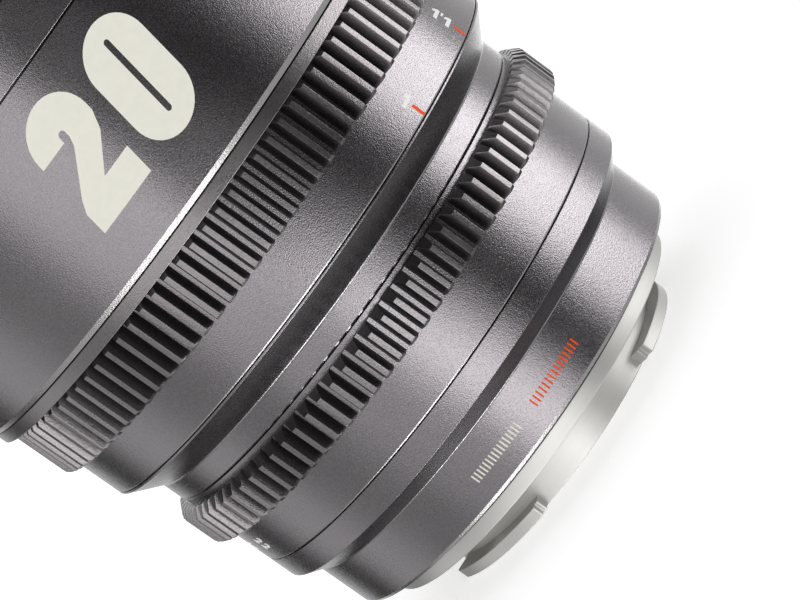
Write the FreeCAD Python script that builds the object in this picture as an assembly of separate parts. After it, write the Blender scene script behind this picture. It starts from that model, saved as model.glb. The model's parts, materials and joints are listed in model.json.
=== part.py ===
import FreeCAD, Part
import math
import os

# Prime lens for cinema work, standing on its bayonet with the front glass up.
# Millimetres and degrees. Z is the optical axis, and zero is the mount's flange plane.
# Angles are counted from +X, turning towards +Y. The side with the large numerals faces -Y.

VECTOR = FreeCAD.Vector
ORIGIN = VECTOR(0, 0, 0)
AXIS = VECTOR(0, 0, 1)
FULL_TURN = 360.0

# Follow focus gears, both cut to the cinema standard of 0.8 mm module
GEAR_MODULE = 0.8
FOCUS_TEETH = 100
APERTURE_TEETH = 91
FOCUS_TIP = GEAR_MODULE * (FOCUS_TEETH + 2) / 2
APERTURE_TIP = GEAR_MODULE * (APERTURE_TEETH + 2) / 2
TOOTH_DEPTH = 1.75
TIP_SHARE = 0.38
FLOOR_SHARE = 0.22
FOCUS_TOOTH_ANGLE = -56.8
APERTURE_TOOTH_ANGLE = -56.0
TOOTH_CHAMFER = 0.35
TOOTH_FOOT_SLOPE = 0.4
FOCUS_CREST_SLOPE = (0.5, 0.6)
APERTURE_CREST_SLOPES = ((0.35, 1.1), (1.1, 0.3))

# Heights of the seams along the outside, from the flange plane up
CLAW_END = -5.25
BARREL_END = 3.1
BARREL_STEP_LOW = 11.4
BARREL_STEP_HIGH = 12.95
APERTURE_SEAM = 16.85
APERTURE_GEAR_LOW = 23.65
APERTURE_GEAR_HIGH = 29.75
NECK_SEAM = 30.6
NECK_TOP = 33.85
FOCUS_SEAM = 37.8
FOCUS_GEAR_LOW = 44.55
FOCUS_GEAR_HIGH = 53.05
COLLAR_LOW = 53.2
FRONT_SEAM = 55.1
FRONT_RING_LOW = 80.0
FRONT_END = 87.0
HALF_SEAM = 0.1
EDGE = 0.15

# Radii of the outside
FLANGE_RADIUS = 28.3
REAR_RADIUS = 32.3
APERTURE_RADIUS = 35.0
NECK_RADIUS = 35.1
FOCUS_RADIUS = 39.0
COLLAR_RADIUS = 42.0
FRONT_RADIUS = 42.5

# The inner tube that carries everything, and the fits of what turns and slides on it
TUBE_OUTER = 32.95
TUBE_INNER = 30.5
TUBE_LOW = 13.2
TUBE_FLANGE_LOW = 55.3
TUBE_FLANGE_HIGH = 58.3
TUBE_FLANGE_RADIUS = 39.4
RUNNING_FIT = 0.05
SEAT_FIT = 0.04
FREE_GAP = 0.3
SLEEVE_BORE = TUBE_OUTER + SEAT_FIT
INSERT_RADIUS = TUBE_INNER - SEAT_FIT

# Bayonet with three claws, its spigot in the barrel and the shim under its flange
REGISTER_RADIUS = 20.5
MOUNT_BORE = 17.8
FLANGE_THICKNESS = 2.35
FLANGE_EDGE = 0.3
REGISTER_EDGE = 0.25
SPIGOT_RADIUS = 26.4
SPIGOT_TOP = 4.4
SHIM_INNER = 26.5
SHIM_OUTER = 29.6
CLAW_RADIUS = 23.1
CLAW_ROOT = 20.0
CLAW_LOW = -5.0
CLAW_HIGH = -3.4
CLAW_SPAN = 50.0
CLAW_MIDDLES = (-138.0, -26.0, 97.0)
CLAW_STEP_SPAN = 3.0
CLAW_STEP_RADIUS = 22.2
MOUNT_SCREW_COUNT = 4
MOUNT_SCREW_CIRCLE = 25.2
MOUNT_SCREW_ANGLE = 20.0
MOUNT_SCREW_END = 8.0
MOUNT_SCREW_SEAT = 1.5
SCREW_RADIUS = 0.95
SCREW_HEAD_RADIUS = 1.8
SCREW_HEAD_SUNK = 0.1
SCREW_CLEARANCE = 0.1
SOCKET_RADIUS = 0.75
SOCKET_DEPTH = 0.9
SOCKET_SIDES = 6
LOCK_ANGLE = 60.0
LOCK_CIRCLE = 26.0
LOCK_RADIUS = 1.6
LOCK_DEPTH = 1.6
INDEX_ANGLE = 135.0
INDEX_HEIGHT = 8.0
INDEX_BEAD_RADIUS = 1.0
INDEX_DOME_RADIUS = 1.7
INDEX_DOME_SUNK = 1.35

# Light baffle inside the mount
BAFFLE_LOW = -4.4
BAFFLE_TOP = 0.6
BAFFLE_BORE = 5.0
BAFFLE_WALL = 0.8
BAFFLE_DISC = 1.0
WINDOW_WIDTH = 21.0
WINDOW_HEIGHT = 15.0
WINDOW_CORNER = 2.0

# Rear barrel's inside and the small step at its rear edge
BARREL_INNER = 22.0
BARREL_WEB_LOW = 4.5
BARREL_WEB_HIGH = 9.0
BARREL_HOLLOW = 28.6
BARREL_REAR_EDGE = 31.9
BARREL_REAR_CHAMFER = 0.4
SHOULDER_EDGE = 0.3

# Grub screws that hold the fixed outer pieces on the tube, all on the hidden side
LOCK_SCREW_ANGLES = (10.0, 90.0, 170.0)
LOCK_SCREW_RADIUS = 0.8
LOCK_SOCKET_RADIUS = 0.4
LOCK_SOCKET_DEPTH = 0.6
LOCK_SCREW_BITE = 0.8
BARREL_LOCK_HEIGHT = 15.0
CELL_LOCK_HEIGHT = 21.4
NECK_LOCK_HEIGHT = 32.2

# Focusing: the ring turns this far and the lens group rises by the lead of the helicoid
FOCUS_THROW = 194.0
FOCUS_RISE_PER_RADIAN = 0.95
FOCUS_RISE = math.radians(FOCUS_THROW) * FOCUS_RISE_PER_RADIAN
LUG_COUNT = 3
LUG_ANGLE = 30.0
LUG_WIDTH = 7.6
LUG_LOW = 41.5
LUG_HIGH = 46.5
LUG_SEAT = 29.4
LUG_SCREW_RADIUS = 0.8
LUG_SCREW_END = 33.4
HELICOID_CREST = 34.05
HELICOID_OUTER = 35.6
HELICOID_LAND = 1.6
HELICOID_RETAINER_TOP = 54.85
STOP_PIN_CIRCLE = 36.9
STOP_PIN_RADIUS = 0.5
STOP_PIN_ANGLE = 135.0
STOP_PIN_FOOT = 1.3
STOP_PIN_HEAD = 1.2
STOP_GROOVE_DEPTH = 1.4
STOP_GROOVE_GAP = 0.15
WASHER_OUTER = 35.5
WASHER_SEAT = 36.0
WASHER_THICKNESS = 0.5
WASHER_PROUD = 0.05
FRONT_WASHER_LOW = 54.95

# Screws that hold the collar to the focus ring
COLLAR_SCREW_COUNT = 6
COLLAR_SCREW_CIRCLE = 37.6
COLLAR_SCREW_ANGLE = 20.0
COLLAR_SCREW_RADIUS = 0.6
COLLAR_SCREW_HEAD = 1.2
COLLAR_SCREW_BITE = 3.0
COLLAR_HEAD_DEPTH = 0.9

# Iris: nine blades, turned by a ring with curved slots
BLADE_COUNT = 9
APERTURE_THROW = 63.0
BLADE_RATIO = 0.46
BLADE_PIVOT_CIRCLE = 20.5
BLADE_ARM = 6.0
BLADE_ARM_START = -106.0
BLADE_ARM_WIDTH = 2.6
BLADE_INNER = 11.3
BLADE_OUTER = 18.3
BLADE_START = -5.0
BLADE_END = 114.0
BLADE_THICKNESS = 0.1
BLADE_PITCH = 0.16
BLADE_FLOOR = 24.1
BLADE_PIVOT_EAR = 1.5
BLADE_DRIVE_EAR = 1.3
PIVOT_PIN_RADIUS = 0.6
DRIVE_PIN_RADIUS = 0.5
SLOT_CLEARANCE = 0.1
SLOT_OVERRUN = 0.02
SLOT_STATIONS = 7
IRIS_FLOOR_LOW = 22.5
IRIS_FLOOR_HIGH = 24.0
IRIS_OPENING = 11.5
COVER_OPENING = 12.0
CAM_LOW = 25.8
CAM_HIGH = 28.3
CAM_INNER = 17.0
CAM_OUTER = 25.95
COVER_LOW = 28.4
IRIS_TOP = 29.8
RING_PIN_HEIGHT = 27.05
RING_PIN_RADIUS = 0.9
RING_PIN_ANGLE = 200.0
RING_PIN_NEAR = 23.6
RING_PIN_FAR = 34.6

# Front cell: rims and seats of its three glasses, and its screws into the tube's flange
FRONT_GLASS_RIM = 37.0
FRONT_GLASS_TOP = 81.8
FRONT_GLASS_SEAT = 64.15
SECOND_GLASS_RIM = 27.0
SECOND_GLASS_TOP = 71.8
SECOND_GLASS_SEAT = 59.8
THIRD_GLASS_RIM = 18.0
THIRD_GLASS_TOP = 56.3
THIRD_GLASS_SEAT = 53.2
GLASS_FIT = 0.05
FRONT_RETAINER_FOOT = (70.62, 69.66)
FRONT_RETAINER_WIDTH = 1.4
SECOND_RETAINER_FOOT = (63.65, 62.9)
SECOND_RETAINER_WIDTH = 1.1
THIRD_RETAINER_LOW = 59.1
CELL_OUTER = 38.4
CELL_TOP = 73.0
CELL_NECK = 21.0
CELL_OPENING = 16.6
CELL_LOW = 52.6
CELL_SPIGOT = 30.45
CELL_SPIGOT_LOW = 56.3
CELL_SCREW_COUNT = 6
CELL_SCREW_CIRCLE = 34.5
CELL_SCREW_SEAT = 61.0
CELL_SCREW_TOP = 62.6
CELL_SCREW_POCKET = 65.0

# Front barrel, front ring with the filter thread, and the ribbed bezel
BARREL_CHAMFER = 0.7
BARREL_CLAMP_RADIUS = 40.9
BARREL_CLAMP_DEPTH = 2.9
FRONT_RING_INNER = 39.6
FRONT_RING_SPIGOT = 40.8
FILTER_BORE = 40.6
FILTER_LOW = 82.2
FILTER_CHAMFER = 0.4
FRONT_EDGE = 0.5
BEZEL_INNER = 35.6
BEZEL_OUTER = 39.3
BEZEL_TOP = 81.6
BEZEL_SHOULDER = 77.0
BEZEL_STEP_COUNT = 8
BEZEL_STEP_RADIUS = 38.9
BEZEL_STEP_INWARD = 3.0
BEZEL_STEP_DOWN = 7.6
BEZEL_STEP_SLOPE = 0.12

# Focusing cell: the two glasses that slide, and the carrier round them
FOCUS_FRONT_RIM = 14.0
FOCUS_FRONT_TOP = 48.0
FOCUS_REAR_RIM = 12.5
FOCUS_REAR_TOP = 41.05
FOCUS_RETAINER_WIDTH = 1.6
FOCUS_RETAINER_HEIGHT = 1.0
CARRIER_REAR_SEAT = 12.6
CARRIER_REAR_HUB = 14.4
CARRIER_FRONT_HUB = 16.4
CARRIER_OPENING = 12.0
CARRIER_HUB_LOW = 38.2
CARRIER_HUB_HIGH = 49.0
CARRIER_REAR_STEP = 42.0
CARRIER_FRONT_STEP = 43.6
CARRIER_WEB_LOW = 42.2
CARRIER_WEB_HIGH = 43.8
CARRIER_WEB_RADIUS = 26.0
CARRIER_WEB_FLARE = 1.6
CARRIER_SHELL_LOW = 40.4
CARRIER_SHELL_RADIUS = 28.6
CARRIER_LOW = 39.0
CARRIER_HIGH = 48.4
CARRIER_EDGE = 0.2

# Rear cell: doublet, spacer and last glass
DOUBLET_RIM = 11.8
DOUBLET_TOP = 20.6
DOUBLET_JOIN = 13.6
DOUBLET_LOW = 11.6
REAR_GLASS_RIM = 12.55
REAR_GLASS_TOP = 4.6
REAR_CELL_OUTER = 16.0
REAR_CELL_LOW = -3.2
REAR_CELL_LIP = 11.2
REAR_CELL_LIP_LOW = 18.5
REAR_CELL_FLANGE_LOW = 20.3
REAR_CELL_STEP = 5.0
REAR_SPACER_LOW = 2.9
REAR_SPACER_HIGH = 10.55
REAR_RETAINER_LOW = -1.2
REAR_RETAINER_HIGH = 1.28


def place(radius, height, angle=0.0):
    """Point at a radius, a height and an angle round the optical axis."""
    turn = math.radians(angle)
    return VECTOR(radius * math.cos(turn), radius * math.sin(turn), height)


def outline(corners):
    """Closed wire in the XZ plane through (radius, height) or (radius, height, rounding) corners."""
    points = [VECTOR(corner[0], 0, corner[1]) for corner in corners]
    arcs = []
    for number, here in enumerate(points):
        rounding = corners[number][2] if len(corners[number]) > 2 else 0.0
        if not rounding:
            arcs.append((here, None, here))
            continue
        back = (points[number - 1] - here).normalize()
        ahead = (points[(number + 1) % len(points)] - here).normalize()
        half = back.getAngle(ahead) / 2
        reach = rounding / math.tan(half)
        middle_line = (back + ahead).normalize()
        centre = here + middle_line * (rounding / math.sin(half))
        arcs.append((here + back * reach, centre - middle_line * rounding, here + ahead * reach))
    edges = []
    for number, (start, middle, end) in enumerate(arcs):
        if middle is not None:
            edges.append(Part.Arc(start, middle, end).toShape())
        following = arcs[(number + 1) % len(arcs)][0]
        edges.append(Part.LineSegment(end, following).toShape())
    return Part.Wire(edges)


def turned(corners):
    """Solid of revolution from its section on one side of the axis."""
    return Part.Face(outline(corners)).revolve(ORIGIN, AXIS, FULL_TURN)


def ring(inner, outer, low, high):
    """Plain ring with square edges."""
    return turned([(inner, low), (outer, low), (outer, high), (inner, high)])


def wedge(radius, low, high, start, span):
    """Pie slice that starts at an angle and covers a span."""
    slice_body = Part.makeCylinder(radius, high - low, VECTOR(0, 0, low), AXIS, span)
    slice_body.rotate(ORIGIN, AXIS, start)
    return slice_body


def even_angles(count, first=0.0):
    """Angles that divide the circle evenly, from a first one on."""
    return [first + number * FULL_TURN / count for number in range(count)]


def spaced(shape, count, first=0.0):
    """Copies of a shape set evenly round the axis, the first one turned to the first angle."""
    copies = []
    for angle in even_angles(count, first):
        copy = shape.copy()
        copy.rotate(ORIGIN, AXIS, angle)
        copies.append(copy)
    return copies


def upright(radius, circle, low, high, angle=0.0):
    """Cylinder parallel to the axis, its centre on a circle round the axis."""
    return Part.makeCylinder(radius, high - low, place(circle, low, angle), AXIS)


def radial(radius, near, far, height, angle=0.0):
    """Cylinder that points away from the axis, from one radius to another."""
    return Part.makeCylinder(radius, far - near, place(near, height, angle), place(1, 0, angle))


def block(near, far, width, low, high, angle=0.0):
    """Box that points away from the axis, from one radius to another."""
    box = Part.makeBox(far - near, width, high - low, VECTOR(near, -width / 2, low))
    box.rotate(ORIGIN, AXIS, angle)
    return box


def hexagon_socket(circle, low, angle):
    """Hexagonal recess for a key, to be cut out of a screw's head."""
    corners = [place(SOCKET_RADIUS, 0, corner_angle) for corner_angle in even_angles(SOCKET_SIDES)]
    socket = Part.Face(Part.makePolygon(corners + corners[:1])).extrude(VECTOR(0, 0, SOCKET_DEPTH))
    socket.translate(place(circle, low, angle))
    return socket


def screw(circle, shank_span, head_span, angle, opens_up):
    """Axial screw with a plain head and a hexagon socket at the top or the foot of the head."""
    shank = upright(SCREW_RADIUS, circle, *shank_span, angle)
    head = upright(SCREW_HEAD_RADIUS, circle, *head_span, angle)
    socket_low = head_span[1] - SOCKET_DEPTH if opens_up else head_span[0]
    return shank.fuse(head).cut(hexagon_socket(circle, socket_low, angle)).removeSplitter()


def sag(curve, radius):
    """How far a sphere has fallen away from its vertex at a radius, signed with the curve."""
    return curve - math.copysign(math.sqrt(curve * curve - radius * radius), curve)


def surface_arc(vertex, curve, radius):
    """Arc in the XZ plane from the vertex of a glass surface out to a radius."""
    edge = VECTOR(radius, 0, vertex - sag(curve, radius))
    middle = VECTOR(radius / 2, 0, vertex - sag(curve, radius / 2))
    return Part.Arc(VECTOR(0, 0, vertex), middle, edge), edge


def lens(rim, top, top_curve, bottom, bottom_curve, bottom_reach=None):
    """Glass element. A curve is positive where its centre lies below its vertex."""
    bottom_reach = rim if bottom_reach is None else bottom_reach
    upper, upper_edge = surface_arc(top, top_curve, rim)
    lower, lower_edge = surface_arc(bottom, bottom_curve, bottom_reach)
    rim_foot = VECTOR(rim, 0, lower_edge.z)
    edges = [upper.toShape(), Part.LineSegment(upper_edge, rim_foot).toShape()]
    if bottom_reach < rim:
        edges.append(Part.LineSegment(rim_foot, lower_edge).toShape())
    edges.append(lower.toShape())
    edges.append(Part.LineSegment(VECTOR(0, 0, bottom), VECTOR(0, 0, top)).toShape())
    wire = Part.Wire(Part.__sortEdges__(edges))
    return Part.Face(wire).revolve(ORIGIN, AXIS, FULL_TURN)


def toothed(teeth, tip, low, high, tooth_angle):
    """Solid gear blank with straight-sided teeth, one of them centred on an angle."""
    pitch = FULL_TURN / teeth
    half_foot = pitch * (1 - FLOOR_SHARE) / 2
    half_tip = pitch * TIP_SHARE / 2
    root = tip - TOOTH_DEPTH
    corners = []
    for middle in even_angles(teeth, tooth_angle):
        corners.append(place(root, low, middle - half_foot))
        corners.append(place(tip, low, middle - half_tip))
        corners.append(place(tip, low, middle + half_tip))
        corners.append(place(root, low, middle + half_foot))
    corners.append(corners[0])
    return Part.Face(Part.makePolygon(corners)).extrude(VECTOR(0, 0, high - low))


def bayonet_mount():
    """Steel mount: flange, register cylinder and three claws with stepped ends."""
    body = turned([
        (MOUNT_BORE, CLAW_END), (REGISTER_RADIUS, CLAW_END, REGISTER_EDGE), (REGISTER_RADIUS, 0),
        (FLANGE_RADIUS, 0, FLANGE_EDGE), (FLANGE_RADIUS, FLANGE_THICKNESS),
        (SPIGOT_RADIUS, FLANGE_THICKNESS), (SPIGOT_RADIUS, SPIGOT_TOP), (MOUNT_BORE, SPIGOT_TOP)])
    for middle in CLAW_MIDDLES:
        start = middle - CLAW_SPAN / 2
        claw = ring(CLAW_ROOT, CLAW_RADIUS, CLAW_LOW, CLAW_HIGH)
        claw = claw.common(wedge(CLAW_RADIUS + 1, CLAW_LOW, CLAW_HIGH, start, CLAW_SPAN))
        step_middle = start + CLAW_SPAN if middle == CLAW_MIDDLES[0] else start
        step = ring(CLAW_STEP_RADIUS, CLAW_RADIUS + 1, CLAW_LOW, CLAW_HIGH)
        step_start = step_middle - CLAW_STEP_SPAN / 2
        step = step.common(wedge(CLAW_RADIUS + 2, CLAW_LOW, CLAW_HIGH, step_start, CLAW_STEP_SPAN))
        body = body.fuse(claw.cut(step))
    shank_hole = SCREW_RADIUS + SCREW_CLEARANCE
    head_hole = SCREW_HEAD_RADIUS + SCREW_CLEARANCE
    for angle in even_angles(MOUNT_SCREW_COUNT, MOUNT_SCREW_ANGLE):
        body = body.cut(upright(shank_hole, MOUNT_SCREW_CIRCLE, -1, SPIGOT_TOP + 1, angle))
        body = body.cut(upright(head_hole, MOUNT_SCREW_CIRCLE, -1, MOUNT_SCREW_SEAT, angle))
    return body.cut(upright(LOCK_RADIUS, LOCK_CIRCLE, -1, LOCK_DEPTH, LOCK_ANGLE)).removeSplitter()


def mount_screws():
    """Four screws that hold the mount to the rear barrel, heads sunk in the flange."""
    shank_span = (MOUNT_SCREW_SEAT, MOUNT_SCREW_END)
    head_span = (SCREW_HEAD_SUNK, MOUNT_SCREW_SEAT)
    return Part.makeCompound([
        screw(MOUNT_SCREW_CIRCLE, shank_span, head_span, angle, opens_up=False)
        for angle in even_angles(MOUNT_SCREW_COUNT, MOUNT_SCREW_ANGLE)])


def mount_shim():
    """Thin ring between the mount and the barrel, which sets the flange distance."""
    return ring(SHIM_INNER, SHIM_OUTER, FLANGE_THICKNESS, BARREL_END)


def rear_baffle():
    """Black cap inside the mount with a rectangular light window."""
    wall_inner = MOUNT_BORE - BAFFLE_WALL
    disc_top = BAFFLE_LOW + BAFFLE_DISC
    cap = turned([
        (BAFFLE_BORE, BAFFLE_LOW), (MOUNT_BORE, BAFFLE_LOW), (MOUNT_BORE, BAFFLE_TOP),
        (wall_inner, BAFFLE_TOP), (wall_inner, disc_top), (BAFFLE_BORE, disc_top)])
    corner = VECTOR(-WINDOW_WIDTH / 2, -WINDOW_HEIGHT / 2, BAFFLE_LOW - BAFFLE_DISC)
    window = Part.makeBox(WINDOW_WIDTH, WINDOW_HEIGHT, 3 * BAFFLE_DISC, corner)
    upright_edges = [edge for edge in window.Edges if abs(edge.tangentAt(edge.FirstParameter).z) > 0.9]
    return cap.cut(window.makeFillet(WINDOW_CORNER, upright_edges))


def rear_barrel():
    """Rear barrel in one turned piece: slim end, sloping shoulder and wide collar."""
    top = APERTURE_SEAM - HALF_SEAM
    body = turned([
        (BARREL_INNER, BARREL_WEB_LOW), (SHIM_INNER, BARREL_WEB_LOW), (SHIM_INNER, BARREL_END),
        (BARREL_REAR_EDGE, BARREL_END), (REAR_RADIUS, BARREL_END + BARREL_REAR_CHAMFER, EDGE),
        (REAR_RADIUS, BARREL_STEP_LOW), (APERTURE_RADIUS, BARREL_STEP_HIGH, SHOULDER_EDGE),
        (APERTURE_RADIUS, top, EDGE), (SLEEVE_BORE, top), (SLEEVE_BORE, TUBE_LOW),
        (BARREL_HOLLOW, TUBE_LOW), (BARREL_HOLLOW, BARREL_WEB_HIGH), (BARREL_INNER, BARREL_WEB_HIGH)])
    for angle in even_angles(MOUNT_SCREW_COUNT, MOUNT_SCREW_ANGLE):
        body = body.cut(upright(SCREW_RADIUS, MOUNT_SCREW_CIRCLE, BARREL_END, MOUNT_SCREW_END, angle))
    for angle in LOCK_SCREW_ANGLES:
        hole = radial(LOCK_SCREW_RADIUS, TUBE_OUTER - 1, APERTURE_RADIUS + 1, BARREL_LOCK_HEIGHT, angle)
        body = body.cut(hole)
    bead_foot = REAR_RADIUS - INDEX_BEAD_RADIUS
    bead_hole = radial(INDEX_BEAD_RADIUS, bead_foot, REAR_RADIUS + 1, INDEX_HEIGHT, INDEX_ANGLE)
    return body.cut(bead_hole).removeSplitter()


def mount_index_bead():
    """Round bead in the rear barrel that shows how the mount lines up."""
    foot = REAR_RADIUS - INDEX_BEAD_RADIUS
    bead = radial(INDEX_BEAD_RADIUS, foot, REAR_RADIUS + INDEX_BEAD_RADIUS, INDEX_HEIGHT, INDEX_ANGLE)
    dome_centre = place(REAR_RADIUS - INDEX_DOME_SUNK, INDEX_HEIGHT, INDEX_ANGLE)
    return bead.common(Part.makeSphere(INDEX_DOME_RADIUS, dome_centre))


def ring_pin_window():
    """Slot in the tube wall that lets the aperture ring's pin sweep, with its ends as stops."""
    half_height = RING_PIN_RADIUS + FREE_GAP
    margin = math.degrees(half_height / CAM_OUTER)
    low = RING_PIN_HEIGHT - half_height
    high = RING_PIN_HEIGHT + half_height
    start = RING_PIN_ANGLE - APERTURE_THROW - margin
    wall = ring(CAM_OUTER, TUBE_OUTER + 1, low, high)
    return wall.common(wedge(TUBE_OUTER + 2, low, high, start, APERTURE_THROW + 2 * margin))


def main_tube():
    """Inner tube that carries the rings, with key slots for the focusing lugs and a front flange."""
    body = turned([
        (TUBE_INNER, TUBE_LOW), (TUBE_OUTER, TUBE_LOW), (TUBE_OUTER, TUBE_FLANGE_LOW),
        (TUBE_FLANGE_RADIUS, TUBE_FLANGE_LOW), (TUBE_FLANGE_RADIUS, TUBE_FLANGE_HIGH),
        (TUBE_INNER, TUBE_FLANGE_HIGH)])
    slot_low = LUG_LOW - FREE_GAP
    slot_high = LUG_HIGH + FOCUS_RISE + FREE_GAP
    slot = block(TUBE_INNER - 2, TUBE_OUTER + 1, LUG_WIDTH + 2 * RUNNING_FIT, slot_low, slot_high)
    for copy in spaced(slot, LUG_COUNT, LUG_ANGLE):
        body = body.cut(copy)
    body = body.cut(ring_pin_window())
    blind = TUBE_INNER + LOCK_SCREW_BITE
    for angle in LOCK_SCREW_ANGLES:
        body = body.cut(radial(LOCK_SCREW_RADIUS, blind, TUBE_OUTER + 1, BARREL_LOCK_HEIGHT, angle))
        body = body.cut(radial(LOCK_SCREW_RADIUS, blind, TUBE_OUTER + 1, NECK_LOCK_HEIGHT, angle))
        body = body.cut(radial(LOCK_SCREW_RADIUS, TUBE_INNER - 1, TUBE_OUTER + 1, CELL_LOCK_HEIGHT, angle))
    for angle in even_angles(CELL_SCREW_COUNT):
        hole = upright(SCREW_RADIUS, CELL_SCREW_CIRCLE, TUBE_FLANGE_LOW - 1, TUBE_FLANGE_HIGH + 1, angle)
        body = body.cut(hole)
    return body.removeSplitter()


def lock_screws(near, far, height):
    """Radial grub screws with round sockets, on the side away from the numerals."""
    screws = []
    for angle in LOCK_SCREW_ANGLES:
        body = radial(LOCK_SCREW_RADIUS, near, far, height, angle)
        socket = radial(LOCK_SOCKET_RADIUS, far - LOCK_SOCKET_DEPTH, far + 1, height, angle)
        screws.append(body.cut(socket))
    return Part.makeCompound(screws)


def barrel_lock_screws():
    """Grub screws that lock the rear barrel on the tube."""
    return lock_screws(TUBE_INNER + LOCK_SCREW_BITE, APERTURE_RADIUS - 0.2, BARREL_LOCK_HEIGHT)


def neck_lock_screws():
    """Grub screws that lock the index collar on the tube."""
    return lock_screws(TUBE_INNER + LOCK_SCREW_BITE, APERTURE_RADIUS, NECK_LOCK_HEIGHT)


def cell_lock_screws():
    """Grub screws under the aperture ring that lock the rear cell in the tube."""
    return lock_screws(TUBE_INNER - 2, TUBE_OUTER - 0.1, CELL_LOCK_HEIGHT)


def index_collar():
    """Fixed neck between the two rings, widening in a sloping skirt to the focus ring."""
    low = NECK_SEAM + HALF_SEAM
    top = FOCUS_SEAM - HALF_SEAM
    washer_seat = top - WASHER_THICKNESS
    body = turned([
        (SLEEVE_BORE, low), (NECK_RADIUS, low, EDGE), (NECK_RADIUS, NECK_TOP), (FOCUS_RADIUS, top - EDGE),
        (FOCUS_RADIUS, top), (WASHER_SEAT, top), (WASHER_SEAT, washer_seat), (SLEEVE_BORE, washer_seat)])
    for angle in LOCK_SCREW_ANGLES:
        hole = radial(LOCK_SCREW_RADIUS, TUBE_OUTER - 1, NECK_RADIUS + 1, NECK_LOCK_HEIGHT, angle)
        body = body.cut(hole)
    pin_foot = top - STOP_PIN_FOOT
    return body.cut(upright(STOP_PIN_RADIUS, STOP_PIN_CIRCLE, pin_foot, top + 1, STOP_PIN_ANGLE))


def focus_stop_pin():
    """Pin on the neck that runs in a groove of the focus ring and ends its travel."""
    top = FOCUS_SEAM - HALF_SEAM
    low = top - STOP_PIN_FOOT
    return upright(STOP_PIN_RADIUS, STOP_PIN_CIRCLE, low, top + STOP_PIN_HEAD, STOP_PIN_ANGLE)


def thrust_washer_rear():
    """Slippery washer that the focusing ring bears on."""
    top = FOCUS_SEAM - HALF_SEAM
    return ring(SLEEVE_BORE, WASHER_OUTER, top - WASHER_THICKNESS, top + WASHER_PROUD)


def thrust_washer_front():
    """Matching washer ahead of the focusing ring."""
    return ring(SLEEVE_BORE, WASHER_OUTER, FRONT_WASHER_LOW, TUBE_FLANGE_LOW)


def aperture_ring():
    """Aperture ring: wide scale band, gear and thin front ledge, turned from one blank."""
    low = APERTURE_SEAM + HALF_SEAM
    high = NECK_SEAM - HALF_SEAM
    bore = TUBE_OUTER + RUNNING_FIT
    gear_inner = APERTURE_RADIUS - 1
    tip = APERTURE_TIP + RUNNING_FIT
    (upper_depth, upper_height), (crest_depth, crest_height) = APERTURE_CREST_SLOPES
    band = turned([
        (bore, low), (APERTURE_RADIUS, low, EDGE), (APERTURE_RADIUS, high, EDGE), (bore, high)])
    gear = toothed(
        APERTURE_TEETH, APERTURE_TIP, APERTURE_GEAR_LOW, APERTURE_GEAR_HIGH, APERTURE_TOOTH_ANGLE)
    envelope = turned([
        (gear_inner, APERTURE_GEAR_LOW), (APERTURE_TIP - TOOTH_CHAMFER, APERTURE_GEAR_LOW),
        (tip, APERTURE_GEAR_LOW + TOOTH_FOOT_SLOPE), (tip, APERTURE_GEAR_HIGH - upper_height),
        (APERTURE_TIP - upper_depth, APERTURE_GEAR_HIGH - crest_height),
        (APERTURE_TIP - crest_depth, APERTURE_GEAR_HIGH), (gear_inner, APERTURE_GEAR_HIGH)])
    body = band.fuse(gear.common(envelope))
    pin_hole = radial(RING_PIN_RADIUS, bore - 1, RING_PIN_FAR, RING_PIN_HEIGHT, RING_PIN_ANGLE)
    return body.cut(pin_hole).removeSplitter()


def aperture_ring_pin():
    """Pin from the aperture ring through the tube to the iris cam ring."""
    return radial(RING_PIN_RADIUS, RING_PIN_NEAR, RING_PIN_FAR, RING_PIN_HEIGHT, RING_PIN_ANGLE)


def stop_groove(low):
    """Groove in the focus ring's rear face, as long as its travel."""
    half_width = STOP_PIN_RADIUS + STOP_GROOVE_GAP
    margin = math.degrees((STOP_PIN_RADIUS + 0.2) / STOP_PIN_CIRCLE)
    high = low + STOP_GROOVE_DEPTH
    start = STOP_PIN_ANGLE - FOCUS_THROW - margin
    groove = ring(STOP_PIN_CIRCLE - half_width, STOP_PIN_CIRCLE + half_width, low - 1, high)
    return groove.common(wedge(FOCUS_RADIUS, low - 1, high, start, FOCUS_THROW + 2 * margin))


def focus_ring():
    """Focus ring: broad scale band and gear, with the groove of the stop pin in its rear face."""
    low = FOCUS_SEAM + HALF_SEAM
    gear_inner = FOCUS_RADIUS - 1
    tip = FOCUS_TIP + RUNNING_FIT
    crest_depth, crest_height = FOCUS_CREST_SLOPE
    band = turned([
        (HELICOID_OUTER, low), (FOCUS_RADIUS, low, EDGE), (FOCUS_RADIUS, FOCUS_GEAR_HIGH),
        (HELICOID_OUTER, FOCUS_GEAR_HIGH)])
    gear = toothed(FOCUS_TEETH, FOCUS_TIP, FOCUS_GEAR_LOW, FOCUS_GEAR_HIGH, FOCUS_TOOTH_ANGLE)
    envelope = turned([
        (gear_inner, FOCUS_GEAR_LOW), (FOCUS_TIP - TOOTH_CHAMFER, FOCUS_GEAR_LOW),
        (tip, FOCUS_GEAR_LOW + TOOTH_FOOT_SLOPE), (tip, FOCUS_GEAR_HIGH - crest_height),
        (FOCUS_TIP - crest_depth, FOCUS_GEAR_HIGH), (gear_inner, FOCUS_GEAR_HIGH)])
    body = band.fuse(gear.common(envelope)).cut(stop_groove(low))
    screw_end = FOCUS_GEAR_HIGH - COLLAR_SCREW_BITE
    for angle in even_angles(COLLAR_SCREW_COUNT, COLLAR_SCREW_ANGLE):
        hole = upright(COLLAR_SCREW_RADIUS, COLLAR_SCREW_CIRCLE, screw_end, FOCUS_GEAR_HIGH + 1, angle)
        body = body.cut(hole)
    return body.removeSplitter()


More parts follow.
